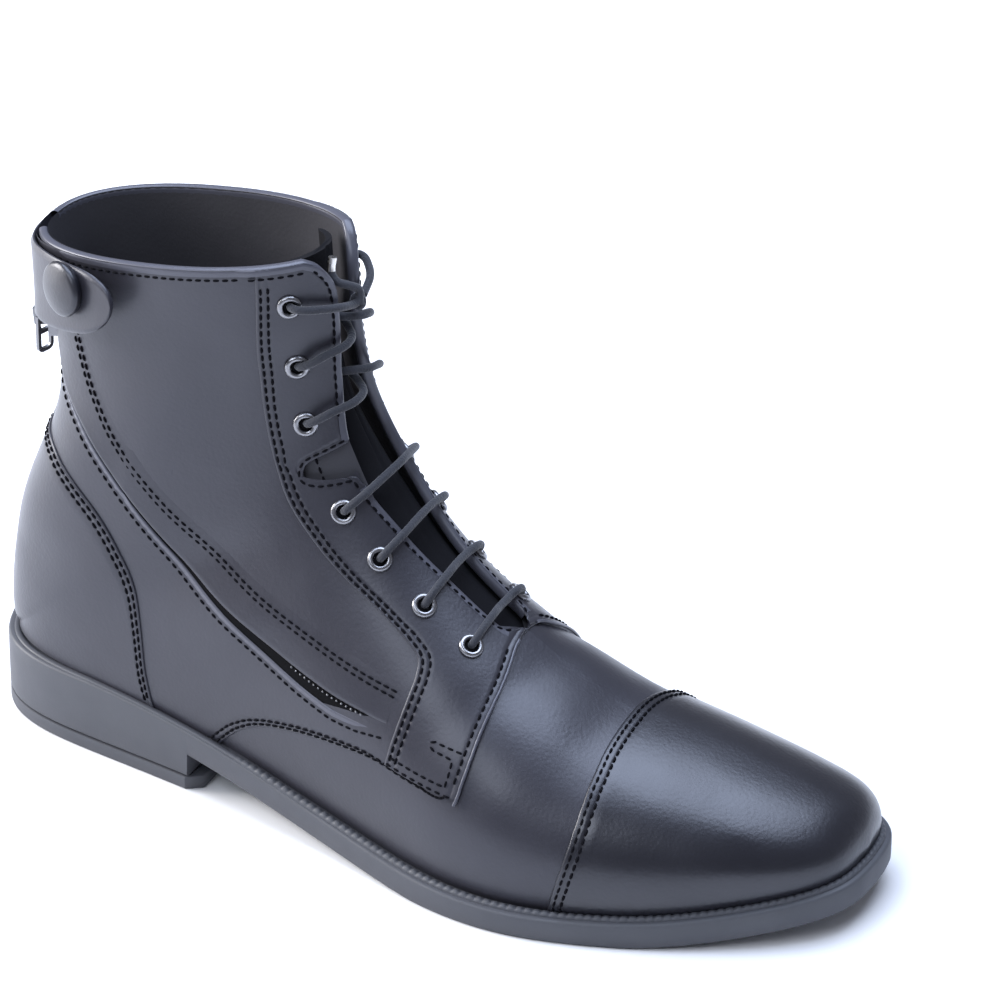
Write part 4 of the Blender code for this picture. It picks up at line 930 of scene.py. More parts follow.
def make_eyestay(word, side):
    """Facing layer with the eyelets, the flex notch, a rolled front rim and a square foot on the vamp."""
    rear, front, parts = eyestay_edges()
    first, second = path_on_side(rear, side), path_on_side(front, side)
    made = sewn_panel("eyestay_leather_" + word, "stitches_eyestays", first, second, EYESTAY_HEIGHT, CUT_EDGE,
                      stitched(CUT_EDGE, (SINGLE_ROW,)), "leather", columns=22, rows=slice(6, -1))
    row = inset(second, first, SINGLE_ROW)
    rows = [row[4:parts[0] - 4], row[parts[1] + 3:parts[2] - 2], row[parts[2] + 2:parts[3] - 2]]
    rim = path_on_side(seam(QUARTER_FRONT), side)
    # The rolled front rim is in the paler leather: a painted highlight along the turned edge.
    tube("eyestay_rim_" + word, surface(*rim.T, EYESTAY_HEIGHT - RIM_SEAT), RIM_DIAMETER, "smooth_leather",
         sides=8)
    notch_line = offset_line(smooth_path(FLEX_NOTCH, 10), NOTCH_ROW)
    for path in (seam(FOOT_HOOK, 10), seam(FOOT_ROW, 10), on_last(notch_line)):
        rows.append(path_on_side(path, side))
    for path in rows:
        sew("stitches_eyestays", path, EYESTAY_HEIGHT)
    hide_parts("eyestay_" + word)


# Zip. The flap runs on past its front line, and its stitch rows keep a distance behind that line.
ZIP_ROWS = 180
FLAP_SEAM = 4.5
FLAP_STITCHES = (0.0, 1.7)
# Distances from the zip's edge: the tape under the flap, and the lip past the width of the gap
TAPE_TUCK = 1.6
LIP_START = 0.4
LIP_END = 2.6
LIP_STITCHES = 3.6
# Place along the boot where the lip's stitches start
LIP_SEWN_X = 30.0
# Heights above the quarter that fall near the zip's lower end. Columns: height, drop, first row, rows.
TAPE_UNDER = (0.2, 0.35, 172, 7.0)
TAPE_LIP = (0.05, 0.35, 155, 24.0)
LIP_RISE = (0.55, 0.7, 162, 14.0)
# First row and number of rows over which the flap's edge falls to the quarter
FLAP_FALL = (158, 25.0)
# Heights from the quarter's face, below it or above it
FLAP_SEAM_SINK = 0.12
FLAP_STITCH_RISE = 0.25
LIP_SINK = 0.05
TEETH_RISE = 0.3
# Teeth: the part of the zip that shows them, and their line as a distance and a share of the gap
TEETH_X = (124.0, 154.5)
TEETH_START = 0.15
TEETH_SHARE = 0.2
TEETH_PITCH = 1.9
TOOTH_LENGTH = 0.8


def zip_path(line, distance=0.0):
    """Even path on the last beside a side-view line."""
    return resampled(on_last(offset_line(line, distance)), ZIP_ROWS)


def zip_fall(height, drop, start, length):
    """Heights along the zip that fall from one row on, so that a layer ends in a point."""
    return QUARTER_HEIGHT + height - drop * ramp(np.arange(ZIP_ROWS), start, length)


def make_zip():
    """Flap over the zip, the gap under its edge with near-black tape as painted shade, the lip below in paler
    leather as a painted highlight, and the metal teeth that show.
    """
    edge_line = smooth_path(ZIP_EDGE, 10)
    front_line = smooth_path(FLAP_FRONT, 10)
    flap_rise = FLAP_HEIGHT + (QUARTER_HEIGHT - FLAP_HEIGHT) * smooth_ramp(np.arange(ZIP_ROWS), *FLAP_FALL)
    made = panel("zip_flap_leather", zip_path(edge_line), zip_path(front_line, -FLAP_SEAM), flap_rise,
                 FOLD_EDGE, FLUSH_EDGE, "leather", columns=16, far_height=QUARTER_HEIGHT - FLAP_SEAM_SINK)
    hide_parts("zip_flap")
    for shift in FLAP_STITCHES:
        sew("stitches_zip", on_last(offset_line(front_line, shift))[4:], QUARTER_HEIGHT + FLAP_STITCH_RISE)
    width = np.interp(edge_line[:, 0], *np.transpose(ZIP_GAPE))
    lip = zip_path(edge_line, width + LIP_START)
    # The tape is near-black: the zip tape's own black deepened into painted shade of the gap under the flap.
    tape = panel("zip_tape", zip_path(edge_line, -TAPE_TUCK), lip, zip_fall(*TAPE_UNDER), FLUSH_EDGE,
                 FLUSH_EDGE, "dark", columns=8, far_height=zip_fall(*TAPE_LIP))
    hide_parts("zip_chain")
    # The lip is in the paler leather: a painted highlight along its fold.
    panel("zip_lip", lip, zip_path(edge_line, width + LIP_END), zip_fall(*LIP_RISE), FOLD_EDGE, FLUSH_EDGE,
          "smooth_leather", columns=4, far_height=QUARTER_HEIGHT - LIP_SINK)
    shown = offset_line(edge_line, width + LIP_START)[:, 0] > LIP_SEWN_X
    sew("stitches_zip", on_last(offset_line(edge_line, width + LIP_STITCHES)[shown]), QUARTER_HEIGHT)
    teeth = (edge_line[:, 0] > TEETH_X[0]) & (edge_line[:, 0] < TEETH_X[1])
    row = on_last(offset_line(edge_line, TEETH_SHARE * width + TEETH_START)[teeth])
    section, around = resampled(row, 400).T
    points = surface(section, around, QUARTER_HEIGHT + TEETH_RISE)
    sew_points("zip_teeth", points, surface_normal(section, around), TEETH_PITCH, TOOTH_LENGTH)
    make_stitches("zip_teeth", "zip_metal")


def make_back_stay():
    """Narrow strip over the back seam, from under the strap down over the counter."""
    sections = np.linspace(*BACK_STAY_SECTIONS, 90)
    first, second = path_of(sections, BACK_STAY_HALF), path_of(sections, -BACK_STAY_HALF)
    panel("back_stay", first, second, STAY_HEIGHT, CUT_EDGE, CUT_EDGE, "leather", columns=8)


# Rolled edge of the wall. Columns: distance past its rim, and share of its half thickness.
BEAD_PROFILE = (
    (-2.2, 0.96), (-1.1, 1.04), (-0.35, 1.0), (0.1, 0.75), (0.35, 0.3), (0.35, -0.3), (0.1, -0.75),
    (-0.35, -1.0), (-1.1, -1.04), (-2.2, -1.0),
)
BEAD_STEP = 1.1
BEAD_LIFT = 0.06
# Step from the rim into the wall, in section and around
BEAD_INWARD = (0.2, 0.03)
# Places around the collar: the lateral edge's start beside the zip, the throat's corner, the eyestay's seam
COLLAR_START = 0.085
COLLAR_CORNER = 0.80
EYESTAY_AROUND = 0.60
# How far around the edge takes to rise onto the eyestay
EYESTAY_STEP = 0.04
# Gaps in the collar's stitch row: past its start, and past the eyestay's seam on each layer
COLLAR_ROW_START = 0.02
COLLAR_ROW_BREAK = (0.01, 0.03)
# Sections between the flex notch and the rolled edge beside it
NOTCH_MARGIN = 0.05


def edge_count(length):
    """Rows of a rolled edge."""
    return max(30, int(length / BEAD_STEP))


def edge_bead(name, path, outer_height, side):
    """Rolled edge over the wall's rim, from the outer face to the lining."""
    path = resampled(path, edge_count(path_lengths(path)[-1]))
    section, around = path.T
    centre = surface(section, around)
    normal = surface_normal(section, around)
    inner = surface_point(section - BEAD_INWARD[0], around + BEAD_INWARD[1] * side)
    away = surface_point(section, around) - inner
    along = unit(np.gradient(centre, axis=0))
    out = unit(square_to(square_to(away, along), normal))
    top = np.broadcast_to(outer_height, len(path))
    middle = (top + LINING_DEPTH) / 2
    rows = [centre + out * distance + normal * (middle + (top - middle) * share)[:, None]
            for distance, share in BEAD_PROFILE]
    outward = np.repeat((normal + out)[:, None], len(rows), axis=1)
    # The rolled edge is in the paler leather: a painted highlight along the rim.
    outward_object(name, np.stack(rows, axis=1), outward, "smooth_leather")


def make_collar():
    """Rolled edges of the collar and the throat, with the stitch row below."""
    notch_top, notch_foot = on_last([FLEX_NOTCH[0], FLEX_NOTCH[-1]])[:, 0]
    for word, side in SIDES:
        start = COLLAR_START if side == LATERAL else 0.0
        top = path_of(COLLAR_SECTION, np.linspace(start, COLLAR_CORNER, 60))
        stop = notch_top + NOTCH_MARGIN if side == LATERAL else THROAT_FOOT
        path = np.vstack([top, facing_path(COLLAR_SECTION, stop, 150)[1:]])
        step_up = (EYESTAY_HEIGHT - QUARTER_HEIGHT) * ramp(path[:, 1], EYESTAY_AROUND, EYESTAY_STEP)
        path = path_on_side(path, side)
        lengths = path_lengths(path)
        even = np.linspace(0.0, lengths[-1], edge_count(lengths[-1]))
        heights = np.interp(even, lengths, QUARTER_HEIGHT + step_up + BEAD_LIFT)
        edge_bead("collar_edge_" + word, path, heights, side)
        if side == LATERAL:
            lower = facing_path(notch_foot - NOTCH_MARGIN, THROAT_FOOT, 60)
            edge_bead("throat_edge_lateral", lower, EYESTAY_HEIGHT + BEAD_LIFT, side)
        quarter_end, eyestay_start = (EYESTAY_AROUND + past for past in COLLAR_ROW_BREAK)
        rows = ((start + COLLAR_ROW_START, quarter_end, QUARTER_HEIGHT),
                (eyestay_start, COLLAR_CORNER, EYESTAY_HEIGHT))
        for begin, end, height in rows:
            around = np.linspace(begin, end, 60)
            step = surface_point(COLLAR_SECTION, around) - surface_point(COLLAR_SECTION - 1.0, around)
            row = path_of(COLLAR_SECTION - COLLAR_ROW / np.linalg.norm(step, axis=1), around)
            sew("stitches_collar", path_on_side(row, side), height)


# Tongue. Columns: section, where its edge lies around, depth below the last.
TONGUE = ((7.3, 0.86, 3.2), (9.0, 0.77, 3.2), (10.5, 0.75, 3.6), (13.5, 0.74, 6.2), (20.6, 0.72, 6.2))
TONGUE_THICKNESS = 2.0
TONGUE_EDGE_POWER = 8
TONGUE_SEAM_START = 9.0
TONGUE_SEAM_DEPTH = 0.5
TONGUE_SEAM_WIDTH = 0.03


def make_tongue():
    """Soft tongue under the throat, with rounded edges and a seam down the middle."""
    table = np.array(TONGUE)
    half = TONGUE_THICKNESS / 2
    spread = np.linspace(-1.0, 1.0, 31)
    rounded = half * np.sqrt(np.clip(1.0 - np.abs(spread) ** TONGUE_EDGE_POWER, 0.0, 1.0))
    groove = TONGUE_SEAM_DEPTH * np.exp(-(spread / TONGUE_SEAM_WIDTH) ** 2)
    rings = []
    for section in np.linspace(table[0, 0], table[-1, 0], 80):
        edge, depth = interpolated(section, table[:, 0], table[:, 1:])
        around = 1.0 + spread * (1.0 - edge)
        point = surface_point(section, around)
        normal = surface_normal(section, around)
        pinch = groove if section > TONGUE_SEAM_START else 0.0
        upper = point - normal * (depth + half - rounded + pinch)[:, None]
        lower = point - normal * (depth + half + rounded)[:, None]
        rings.append(np.vstack([upper, lower[::-1][1:-1]]))
    # The tongue's leather is painted darker than the upper's, as shade under the throat.
    made = loft("tongue_soft", rings, "tongue_leather")
    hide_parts("tongue")


# Strap and button
STRAP_LOW_SECTION = 19.93
STRAP_HIGH_SECTION = 20.93
STRAP_MIDDLE = (STRAP_LOW_SECTION + STRAP_HIGH_SECTION) / 2
STRAP_REACH = (STRAP_HIGH_SECTION - STRAP_LOW_SECTION) / 2
STRAP_MEDIAL_AROUND = 0.33
STRAP_LATERAL_AROUND = 0.36
STRAP_END_LENGTH = 0.085
STRAP_THICKNESS = 2.0
STRAP_ROUNDING = 0.06
# Share of the strap's thickness that is left at its edges
STRAP_EDGE_SHARE = 0.25
# Roundness of the free end, as two powers, and the least share of its width
STRAP_END_POWERS = (2.8, 0.42)
STRAP_END_LEAST = 0.0002
# Section past which the strap's outward direction stays the same
STRAP_TURN_SECTION = COLLAR_SECTION - 0.1
# How far the strap stands off the shaft. Columns: around, distance at mid height, lean with height.
STRAP_STANDOFF = (
    (-0.33, -0.1, 0.0), (-0.22, 1.4, 1.0), (-0.1, 3.4, 3.5), (0.1, 3.8, 4.0), (0.18, 3.6, 4.0),
    (0.25, 4.6, 4.0), (0.36, 7.6, 4.0),
)
STRAP_DENSE = smooth_path(STRAP_STANDOFF)
BUTTON_PLACE = (20.6, 0.268)
BUTTON_RADIUS = 8.8
BUTTON_SEAT = 0.6
# Rounded side of the button. Columns: radius past BUTTON_RADIUS and height.
BUTTON_SIDE = ((-1.2, -0.9), (-0.5, 0.2), (0.0, 1.1), (0.05, 1.7), (-0.25, 2.3), (-0.8, 2.75))
BUTTON_CROWN_RISE = 1.35
BUTTON_CROWN_RADII = (7.2, 6.0, 4.6, 3.0, 1.5, 0.05)


def strap_point(section, around, lift):
    """Points on the strap, lifted off its inner face."""
    section, around = paired(section, around)
    distance, lean = (np.interp(around, STRAP_DENSE[:, 0], STRAP_DENSE[:, place]) for place in (1, 2))
    away = distance - lean * (section - STRAP_MIDDLE) + lift
    normal = surface_normal(np.minimum(section, STRAP_TURN_SECTION), around)
    return surface_point(section, around) + normal * away[..., None]


def make_strap():
    """Snap strap around the back of the collar, with rounded cut edges and a round free end."""
    first_power, second_power = STRAP_END_POWERS
    tail = STRAP_LATERAL_AROUND - STRAP_END_LENGTH * (1.0 - np.sin(np.linspace(0.0, np.pi / 2, 24)))
    spread = np.concatenate([np.linspace(-STRAP_MEDIAL_AROUND, tail[0], 70)[:-1], tail])
    across = np.linspace(-1.0, 1.0, 21)
    rings = []
    for around in spread:
        past = np.clip((around - STRAP_LATERAL_AROUND) / STRAP_END_LENGTH + 1.0, 0.0, 1.0)
        half = STRAP_REACH * max(1.0 - past ** first_power, STRAP_END_LEAST) ** second_power
        section = STRAP_MIDDLE + across * half
        near_edge = ramp((1.0 - np.abs(across)) * half, 0.0, STRAP_ROUNDING)
        arc = np.sqrt(1.0 - (1.0 - near_edge) ** 2)
        rounded = STRAP_EDGE_SHARE + (1.0 - STRAP_EDGE_SHARE) * arc
        outer = strap_point(section, around, STRAP_THICKNESS * (0.5 + 0.5 * rounded))
        inner = strap_point(section, around, STRAP_THICKNESS * (0.5 - 0.5 * rounded))
        rings.append(np.vstack([outer, inner[::-1]]))
    made = loft("strap_leather", rings, "leather")
    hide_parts("back_strap")


def turned(name, profile, place, normal, look, segments):
    """Round piece turned about a normal. The profile holds radius and height rows."""
    turn = np.array(Vector(normal).to_track_quat("Z", "Y").to_matrix())
    cosines, sines = circle(segments)
    flat = np.hstack([cosines, sines, np.zeros_like(sines)])
    rings = [place + (flat * radius + (0.0, 0.0, height)) @ turn.T for radius, height in profile]
    return loft(name, rings, look)


def make_button():
    """Domed snap cap in leather."""
    section, around = BUTTON_PLACE
    step = 0.05
    place = strap_point(section, around, STRAP_THICKNESS)
    above = strap_point(section + step, around, STRAP_THICKNESS) - place
    fore, aft = (strap_point(section, around + way, STRAP_THICKNESS) for way in (step, -step))
    normal = unit(np.cross(fore - aft, above))
    dome = [(BUTTON_RADIUS + past, height) for past, height in BUTTON_SIDE]
    crown_radius, crown_foot = dome[-1]
    for radius in BUTTON_CROWN_RADII:
        dome.append((radius, crown_foot + BUTTON_CROWN_RISE * (1.0 - (radius / crown_radius) ** 2)))
    made = turned("snap_button_cap", dome, place + normal * BUTTON_SEAT, normal, "cap_leather", segments=48)
    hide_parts("snap_button")


# Eyelets. Columns of both profiles: radius and height.
EYELET_SEAT = 1.6
EYELET_RING = (
    (3.9, -0.35), (4.0, 0.0), (3.9, 0.4), (3.6, 0.78), (3.15, 1.0), (2.65, 0.98), (2.25, 0.75), (2.05, 0.35),
    (2.05, -1.4),
)
# Near-black disc inside each ring: painted shade standing in for the depth of the hole.
EYELET_PAINTED_SHADE = ((2.04, -0.4), (2.04, -0.15), (0.05, -0.2))


def eyelet_place(number, side):
    """Section and around of an eyelet, numbered from the top."""
    section, around = EYELETS[number - 1]
    return section, around if side == LATERAL else 2.0 - around - MEDIAL_EYELET_SHIFT


def make_eyelets():
    """Rolled metal rings over near-black discs that paint the shade inside the holes."""
    for word, side in SIDES:
        for number in range(1, len(EYELETS) + 1):
            section, around = eyelet_place(number, side)
            normal = surface_normal(section, around)
            seat = surface(section, around, EYELET_SEAT)
            label = word + "_" + str(number)
            made = turned("eyelet_ring_" + label, EYELET_RING, seat, normal, "eyelet_metal", segments=28)
            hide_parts("eyelet_" + label)
            # Near-black disc in the ring: painted shade of the hole.
            turned("eyelet_painted_shade_" + label, EYELET_PAINTED_SHADE, seat, normal, "dark", segments=16)


# Laces
LACE_DIAMETER = 2.6
BAR_PAIRS = (4, 5, 6, 7)
# Strands of the open lacing on the shaft. Columns: section, around, height above the last.
STRANDS = {
    "lace_cross_3_lateral": (
        (14.47, 0.783, -1.5), (14.47, 0.79, 2.6), (14.42, 0.82, 4.4), (14.35, 0.85, 4.5), (14.15, 0.91, 4.0),
        (14.1, 0.965, 1.6), (14.3, 1.0, -1.6), (14.6, 1.02, -4.0),
    ),
    "lace_cross_3_medial": (
        (14.47, 1.197, -1.5), (14.47, 1.19, 2.6), (14.48, 1.165, 4.4), (14.5, 1.14, 4.5), (14.6, 1.095, 4.0),
        (14.7, 1.03, 2.3), (14.85, 0.98, -1.2), (15.0, 0.93, -4.0),
    ),
    "lace_cross_2_lateral": (
        (16.66, 0.776, -1.5), (16.66, 0.783, 2.6), (16.64, 0.815, 4.4), (16.6, 0.85, 4.5),
        (16.45, 0.915, 4.0), (16.4, 0.965, 1.6), (16.6, 1.0, -1.6), (16.9, 1.02, -4.0),
    ),
    "lace_cross_2_medial": (
        (16.66, 1.204, -1.5), (16.66, 1.197, 2.6), (16.7, 1.17, 4.4), (16.75, 1.14, 4.5), (16.85, 1.085, 4.0),
        (16.95, 1.03, 2.3), (17.1, 0.98, -1.2), (17.25, 0.935, -4.0),
    ),
    "lace_cross_1_medial": (
        (19.32, 1.238, -1.5), (19.31, 1.232, 2.6), (19.2, 1.21, 4.4), (18.95, 1.17, 4.7), (18.5, 1.11, 4.6),
        (17.95, 1.036, 3.4),
    ),
}
KNOT_PLACE = (17.85, 1.0, 3.2)
KNOT_RADII = (1.5, 1.1, 1.9)
KNOT_TURNS = 1.75
KNOT_POINTS = 60
KNOT_THINNING = 0.85
# Top strand, from the lateral eyelet to the knot. Columns: section, around, height above the last.
TOP_STRAND = (
    (19.32, 0.742, -1.5), (19.31, 0.748, 2.6), (19.2, 0.77, 4.4), (18.95, 0.81, 4.7), (18.45, 0.89, 4.6),
    (17.95, 0.966, 3.4),
)
# Free end past the knot. Columns: x, y and z.
LACE_END = (
    (128.4, 2.2, 172.2), (127.9, 2.7, 175.2), (125.6, 0.3, 177.2), (122.4, -1.2, 178.4), (120.2, -0.6, 181.2),
    (120.2, 0.4, 185.6),
)
AGLET_SWELL = 1.06
# Direction that no route starts along
TUBE_UP = (0.3, 0.2, 0.93)


def tube(name, route, diameter, look, sides=12):
    """Round tube along a route of points in millimetres."""
    along = unit(np.gradient(route, axis=0))
    cosines, sines = circle(sides)
    side = np.cross(along[0], TUBE_UP)
    rings = []
    for place, way in zip(route, along):
        side = unit(square_to(side, way))
        rings.append(place + diameter / 2 * (cosines * side + sines * np.cross(way, side)))
    return loft(name, rings, look)


def above_last(places):
    """Points above the creased last from rows of section, around and height."""
    return surface(*np.transpose(places))


def bar_half(eyelet, edge):
    """Half of a bar, from an eyelet to the middle of the throat, as rows of around and height."""
    return [(eyelet, -1.5), (eyelet + 0.006, 2.4), (eyelet + 0.03, 3.9), ((eyelet + edge) / 2 + 0.01, 4.1),
            (edge, 3.7), (0.97, 2.3)]


def make_laces():
    """Straight bars over the instep, open strands up the shaft, the knot and the free end."""
    for pair in BAR_PAIRS:
        section, near = eyelet_place(pair, LATERAL)
        far = eyelet_place(pair, MEDIAL)[1]
        edge = float(facing_around(section))
        far_half = [(2.0 - around, height) for around, height in bar_half(2.0 - far, edge)]
        places = [(section, *row) for row in bar_half(near, edge) + far_half[::-1]]
        made = tube("lace_" + str(pair), smooth_path(above_last(places), 6), LACE_DIAMETER, "lace")
        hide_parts("lace_bar_" + str(pair))
    for node, places in STRANDS.items():
        route = smooth_path(above_last(places), 6)
        made = tube(node.replace("cross", "strand"), route, LACE_DIAMETER, "lace")
        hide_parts(node)
    turn = np.linspace(0.0, 2.0 * np.pi * KNOT_TURNS, KNOT_POINTS)
    across = np.linspace(-1.0, 1.0, KNOT_POINTS)
    coil = np.column_stack([np.cos(turn), across, np.sin(turn)]) * KNOT_RADII
    turns = tube("lace_knot_turns", above_last([KNOT_PLACE]) + coil, LACE_DIAMETER * KNOT_THINNING, "lace")
    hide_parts("lace_knot")
    route = smooth_path(np.vstack([above_last(TOP_STRAND), LACE_END]), 4)
    made = tube("lace_tail", route, LACE_DIAMETER, "lace")
    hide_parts("lace_cross_1_lateral", "lace_end")
    aglet = tube("lace_aglet", route[-5:], LACE_DIAMETER * AGLET_SWELL, "aglet")


# Sole
SOLE_THICKNESS = 9.2
HEEL_BREAST_X = 86.0
# Sections kept free of other rows beside the heel breast, and between its own two rows
BREAST_CLEAR = 0.02
BREAST_STEP = 0.008
TOP_LIFT_HEIGHT = 5.0
HEEL_SEAT = 26.6
FIT_GAP = 0.3
ARCH_RISE = 5.0
WAIST_FRONT_X = 165.0
WAIST_LENGTH = 45.0
WAIST_POWER = 1.5
# Width of the sole's ledge beyond the upper. Columns: x and width.
SOLE_LEDGE = ((0.0, 5.4), (25.0, 4.4), (60.0, 3.6), (140.0, 4.4), (200.0, 5.3), (300.0, 5.2))
RIB_COUNT = 16
RIB_FIRST_X = 165.0
RIB_PITCH = 6.1
RIB_GROOVE_WIDTH = 2.6
RIB_DEPTH = 1.5
RIB_BORDER = 9.5
RIB_SLANT = math.radians(7.0)
# Length over which rows turn to run along the ribs, and how far outside the ribs it starts
RIB_FADE = 14.0
RIB_LEAD = 21.0
# Rounded upper and lower edge of the sole. Columns: offset from the ledge's width, and drop or rise.
SOLE_SHOULDER = ((-1.7, 0.0), (-0.75, 0.1), (-0.25, 0.4), (0.0, 1.0))
SOLE_FOOT = ((0.0, 1.1), (-0.25, 0.4), (-0.8, 0.06), (-1.6, 0.0))
SOLE_INNER = -5.0
# Fullest line of the sole's side: offset from the ledge's width, and share of the way down
SOLE_BULGE = 0.05
SOLE_BULGE_SHARE = 0.4
# Upper edge of the top lift, down from its top, and lower edge, up from the floor. Columns: inset, height.
LIFT_SHOULDER = ((4.0, 0.0), (0.7, 0.0), (0.25, 0.2), (0.05, 0.7))
LIFT_FOOT = ((0.05, 1.0), (0.3, 0.3), (0.9, 0.0))
LIFT_SINK = 0.1
GROOVE_EDGE = 0.9
GROOVE_END = 0.8
WELT_PITCH = 2.7
WELT_START_X = 108.0
WELT_LINE = 2.4
WELT_FADE = 12.0
# Welt bead at the heel, and what the forepart adds
WELT_HEIGHT = (0.7, 0.75)
WELT_HALF_WIDTH = (1.1, 0.25)
WELT_OFFSET = (1.9, 0.2)
WELT_SEAT = 0.1
WELT_NOTCH = 0.45
# Sharpness of the notches and roundness of the bead
WELT_NOTCH_POWER = 3
WELT_ROUND_POWER = 0.8
INSOLE_HEIGHT = 2.6
INSOLE_INSET = 3.2
INSOLE_CURL = 1.2
INSOLE_CURL_POWER = 3


def ledge_width(x):
    """Width of the sole's ledge at a place along the boot."""
    table = smooth_path(SOLE_LEDGE)
    return np.interp(x, table[:, 0], table[:, 1])


def sole_outline(offset, side, sections):
    """Plan of the upper's foot moved outwards by an offset for each section."""
    step = 0.02
    ahead = last_point(np.minimum(sections + step, HEEL_SECTION), 0.0, side)
    behind = last_point(np.maximum(sections - step, 0.0), 0.0, side)
    tangent = (ahead - behind)[:, :2]
    tangent[0] = (0.0, side)
    tangent[-1] = (0.0, -side)
    tangent = unit(tangent)
    outward = np.column_stack([tangent[:, 1], -tangent[:, 0]]) * side
    return last_point(sections, 0.0, side)[:, :2] + outward * np.broadcast_to(offset, len(sections))[:, None]


def sole_sections(count=420):
    """Sections spaced evenly along the foot's outline from toe to heel, and the heel breast's row."""
    fine = np.linspace(0.0, HEEL_SECTION, 1501)
    reach = run_lengths(np.abs(last_point(fine, 0.0, LATERAL)[:, :2]))
    rows = np.interp(np.linspace(0.0, reach[-1], count), reach, fine)
    table_x = column(SECTIONS[:HEEL_SECTION + 1], "foot_x")
    breast = np.interp(-HEEL_BREAST_X, -table_x, np.arange(HEEL_SECTION + 1.0))
    front = rows[rows < breast - BREAST_CLEAR]
    heel = rows[rows > breast + BREAST_CLEAR]
    return np.concatenate([front, [breast - BREAST_STEP, breast], heel]), len(front) + 1


def sole_top(sections):
    """Places along the boot and heights of the sole's upper face."""
    rows = section_row(sections)
    return column(rows, "foot_x"), np.minimum(column(rows, "foot_z"), HEEL_SEAT) - FIT_GAP


def swept(profile, side, sections):
    """Grid along one side of the sole. The profile gives offset and height for each section."""
    rows = []
    for offset, height in profile:
        plan = sole_outline(offset, side, sections)
        rows.append(np.column_stack([plan, np.broadcast_to(height, len(plan))]))
    return np.stack(rows, axis=1)


def bridged(first, second, count):
    """Grid of straight rows from one edge to another."""
    spread = np.linspace(0.0, 1.0, count)[:, None]
    return first[:, None] * (1.0 - spread) + second[:, None] * spread


def welded(name, grids):
    """One rubber mesh from pairs of a grid of points and whether its faces turn over."""
    points, faces, total = [], [], 0
    for grid, flip in grids:
        quads = grid_quads(*grid.shape[:2], start=total)
        faces.append(quads[:, ::-1] if flip else quads)
        points.append(grid.reshape(-1, 3))
        total += len(points[-1])
    made = mesh_object(name, np.vstack(points), np.vstack(faces), "rubber", sharp=40.0)
    form = bmesh.new()
    form.from_mesh(made.data)
    bmesh.ops.remove_doubles(form, verts=form.verts, dist=1e-6)
    form.to_mesh(made.data)
    form.free()
    return made


def waist_rise(x, share):
    """How far the waist is hollowed, from none on the outer edge to the most on the inner one."""
    return ARCH_RISE * smooth_ramp(x, WAIST_FRONT_X, -WAIST_LENGTH) * share ** WAIST_POWER


def rib_shift(x, y, low_y, high_y):
    """How far the underside's rows move so that they run along the slanting ribs."""
    last_x = RIB_FIRST_X + (RIB_COUNT - 1) * RIB_PITCH
    start = ramp(x, RIB_FIRST_X - RIB_LEAD, RIB_FADE)
    end = ramp(x, last_x + RIB_LEAD, -RIB_FADE)
    inside = ramp(np.minimum(y - low_y, high_y - y), 0.0, RIB_BORDER)
    return y * math.tan(RIB_SLANT) * start * end * inside


def groove_depth(x, y, low_y, high_y):
    """Depth of the forefoot grooves at a place on the underside."""
    place = (x + y * math.tan(RIB_SLANT) - RIB_FIRST_X) / RIB_PITCH
    nearest = np.clip(np.round(place), 0, RIB_COUNT - 1)
    apart = np.abs(place - nearest) * RIB_PITCH
    across = ramp(apart, (RIB_GROOVE_WIDTH + GROOVE_EDGE) / 2, -GROOVE_EDGE)
    inside = ramp(np.minimum(y - low_y, high_y - y), RIB_BORDER, GROOVE_END)
    return RIB_DEPTH * across * inside


def make_sole():
    """Rubber sole with a rounded edge, heel block, hollowed waist and forefoot ribs."""
    sections, heel_row = sole_sections()
    foot_x, top = sole_top(sections)
    heel = np.arange(len(sections)) >= heel_row
    bottom = np.where(heel, TOP_LIFT_HEIGHT + FIT_GAP, np.maximum(0.0, top + FIT_GAP - SOLE_THICKNESS))
    width = ledge_width(foot_x)
    walls = []
    for side, share in ((LATERAL, 0.0), (MEDIAL, 1.0)):
        low = np.where(heel, bottom, bottom + waist_rise(foot_x, share))
        profile = [(SOLE_INNER, top)]
        profile += [(width + past, top - drop) for past, drop in SOLE_SHOULDER]
        profile += [(width + SOLE_BULGE, top * (1.0 - SOLE_BULGE_SHARE) + low * SOLE_BULGE_SHARE)]
        profile += [(width + past, low + rise) for past, rise in SOLE_FOOT]
        walls.append(swept(profile, side, sections))
    spread = np.linspace(0.0, 1.0, 46)
    under = bridged(walls[0][:, -1], walls[1][:, -1], len(spread))
    x, y = under[..., 0], under[..., 1]
    borders = (y[:, :1], y[:, -1:])
    moved = x - rib_shift(x, y, *borders)
    plain, tilted = (np.interp(place, foot_x[::-1], bottom[::-1]) for place in (x, moved))
    rise = np.where(heel[:, None], 0.0, waist_rise(moved, spread) + tilted - plain)
    grooves = np.where(heel[:, None], 0.0, groove_depth(moved, y, *borders))
    under[..., 0] = moved
    under[..., 2] = np.maximum(bottom[:, None] + rise, 0.0) + grooves
    made = welded("sole_rubber", ((walls[0], True), (walls[1], False), (under, True)))
    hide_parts("outsole")
    make_top_lift(sections[heel_row:], width[heel_row:])


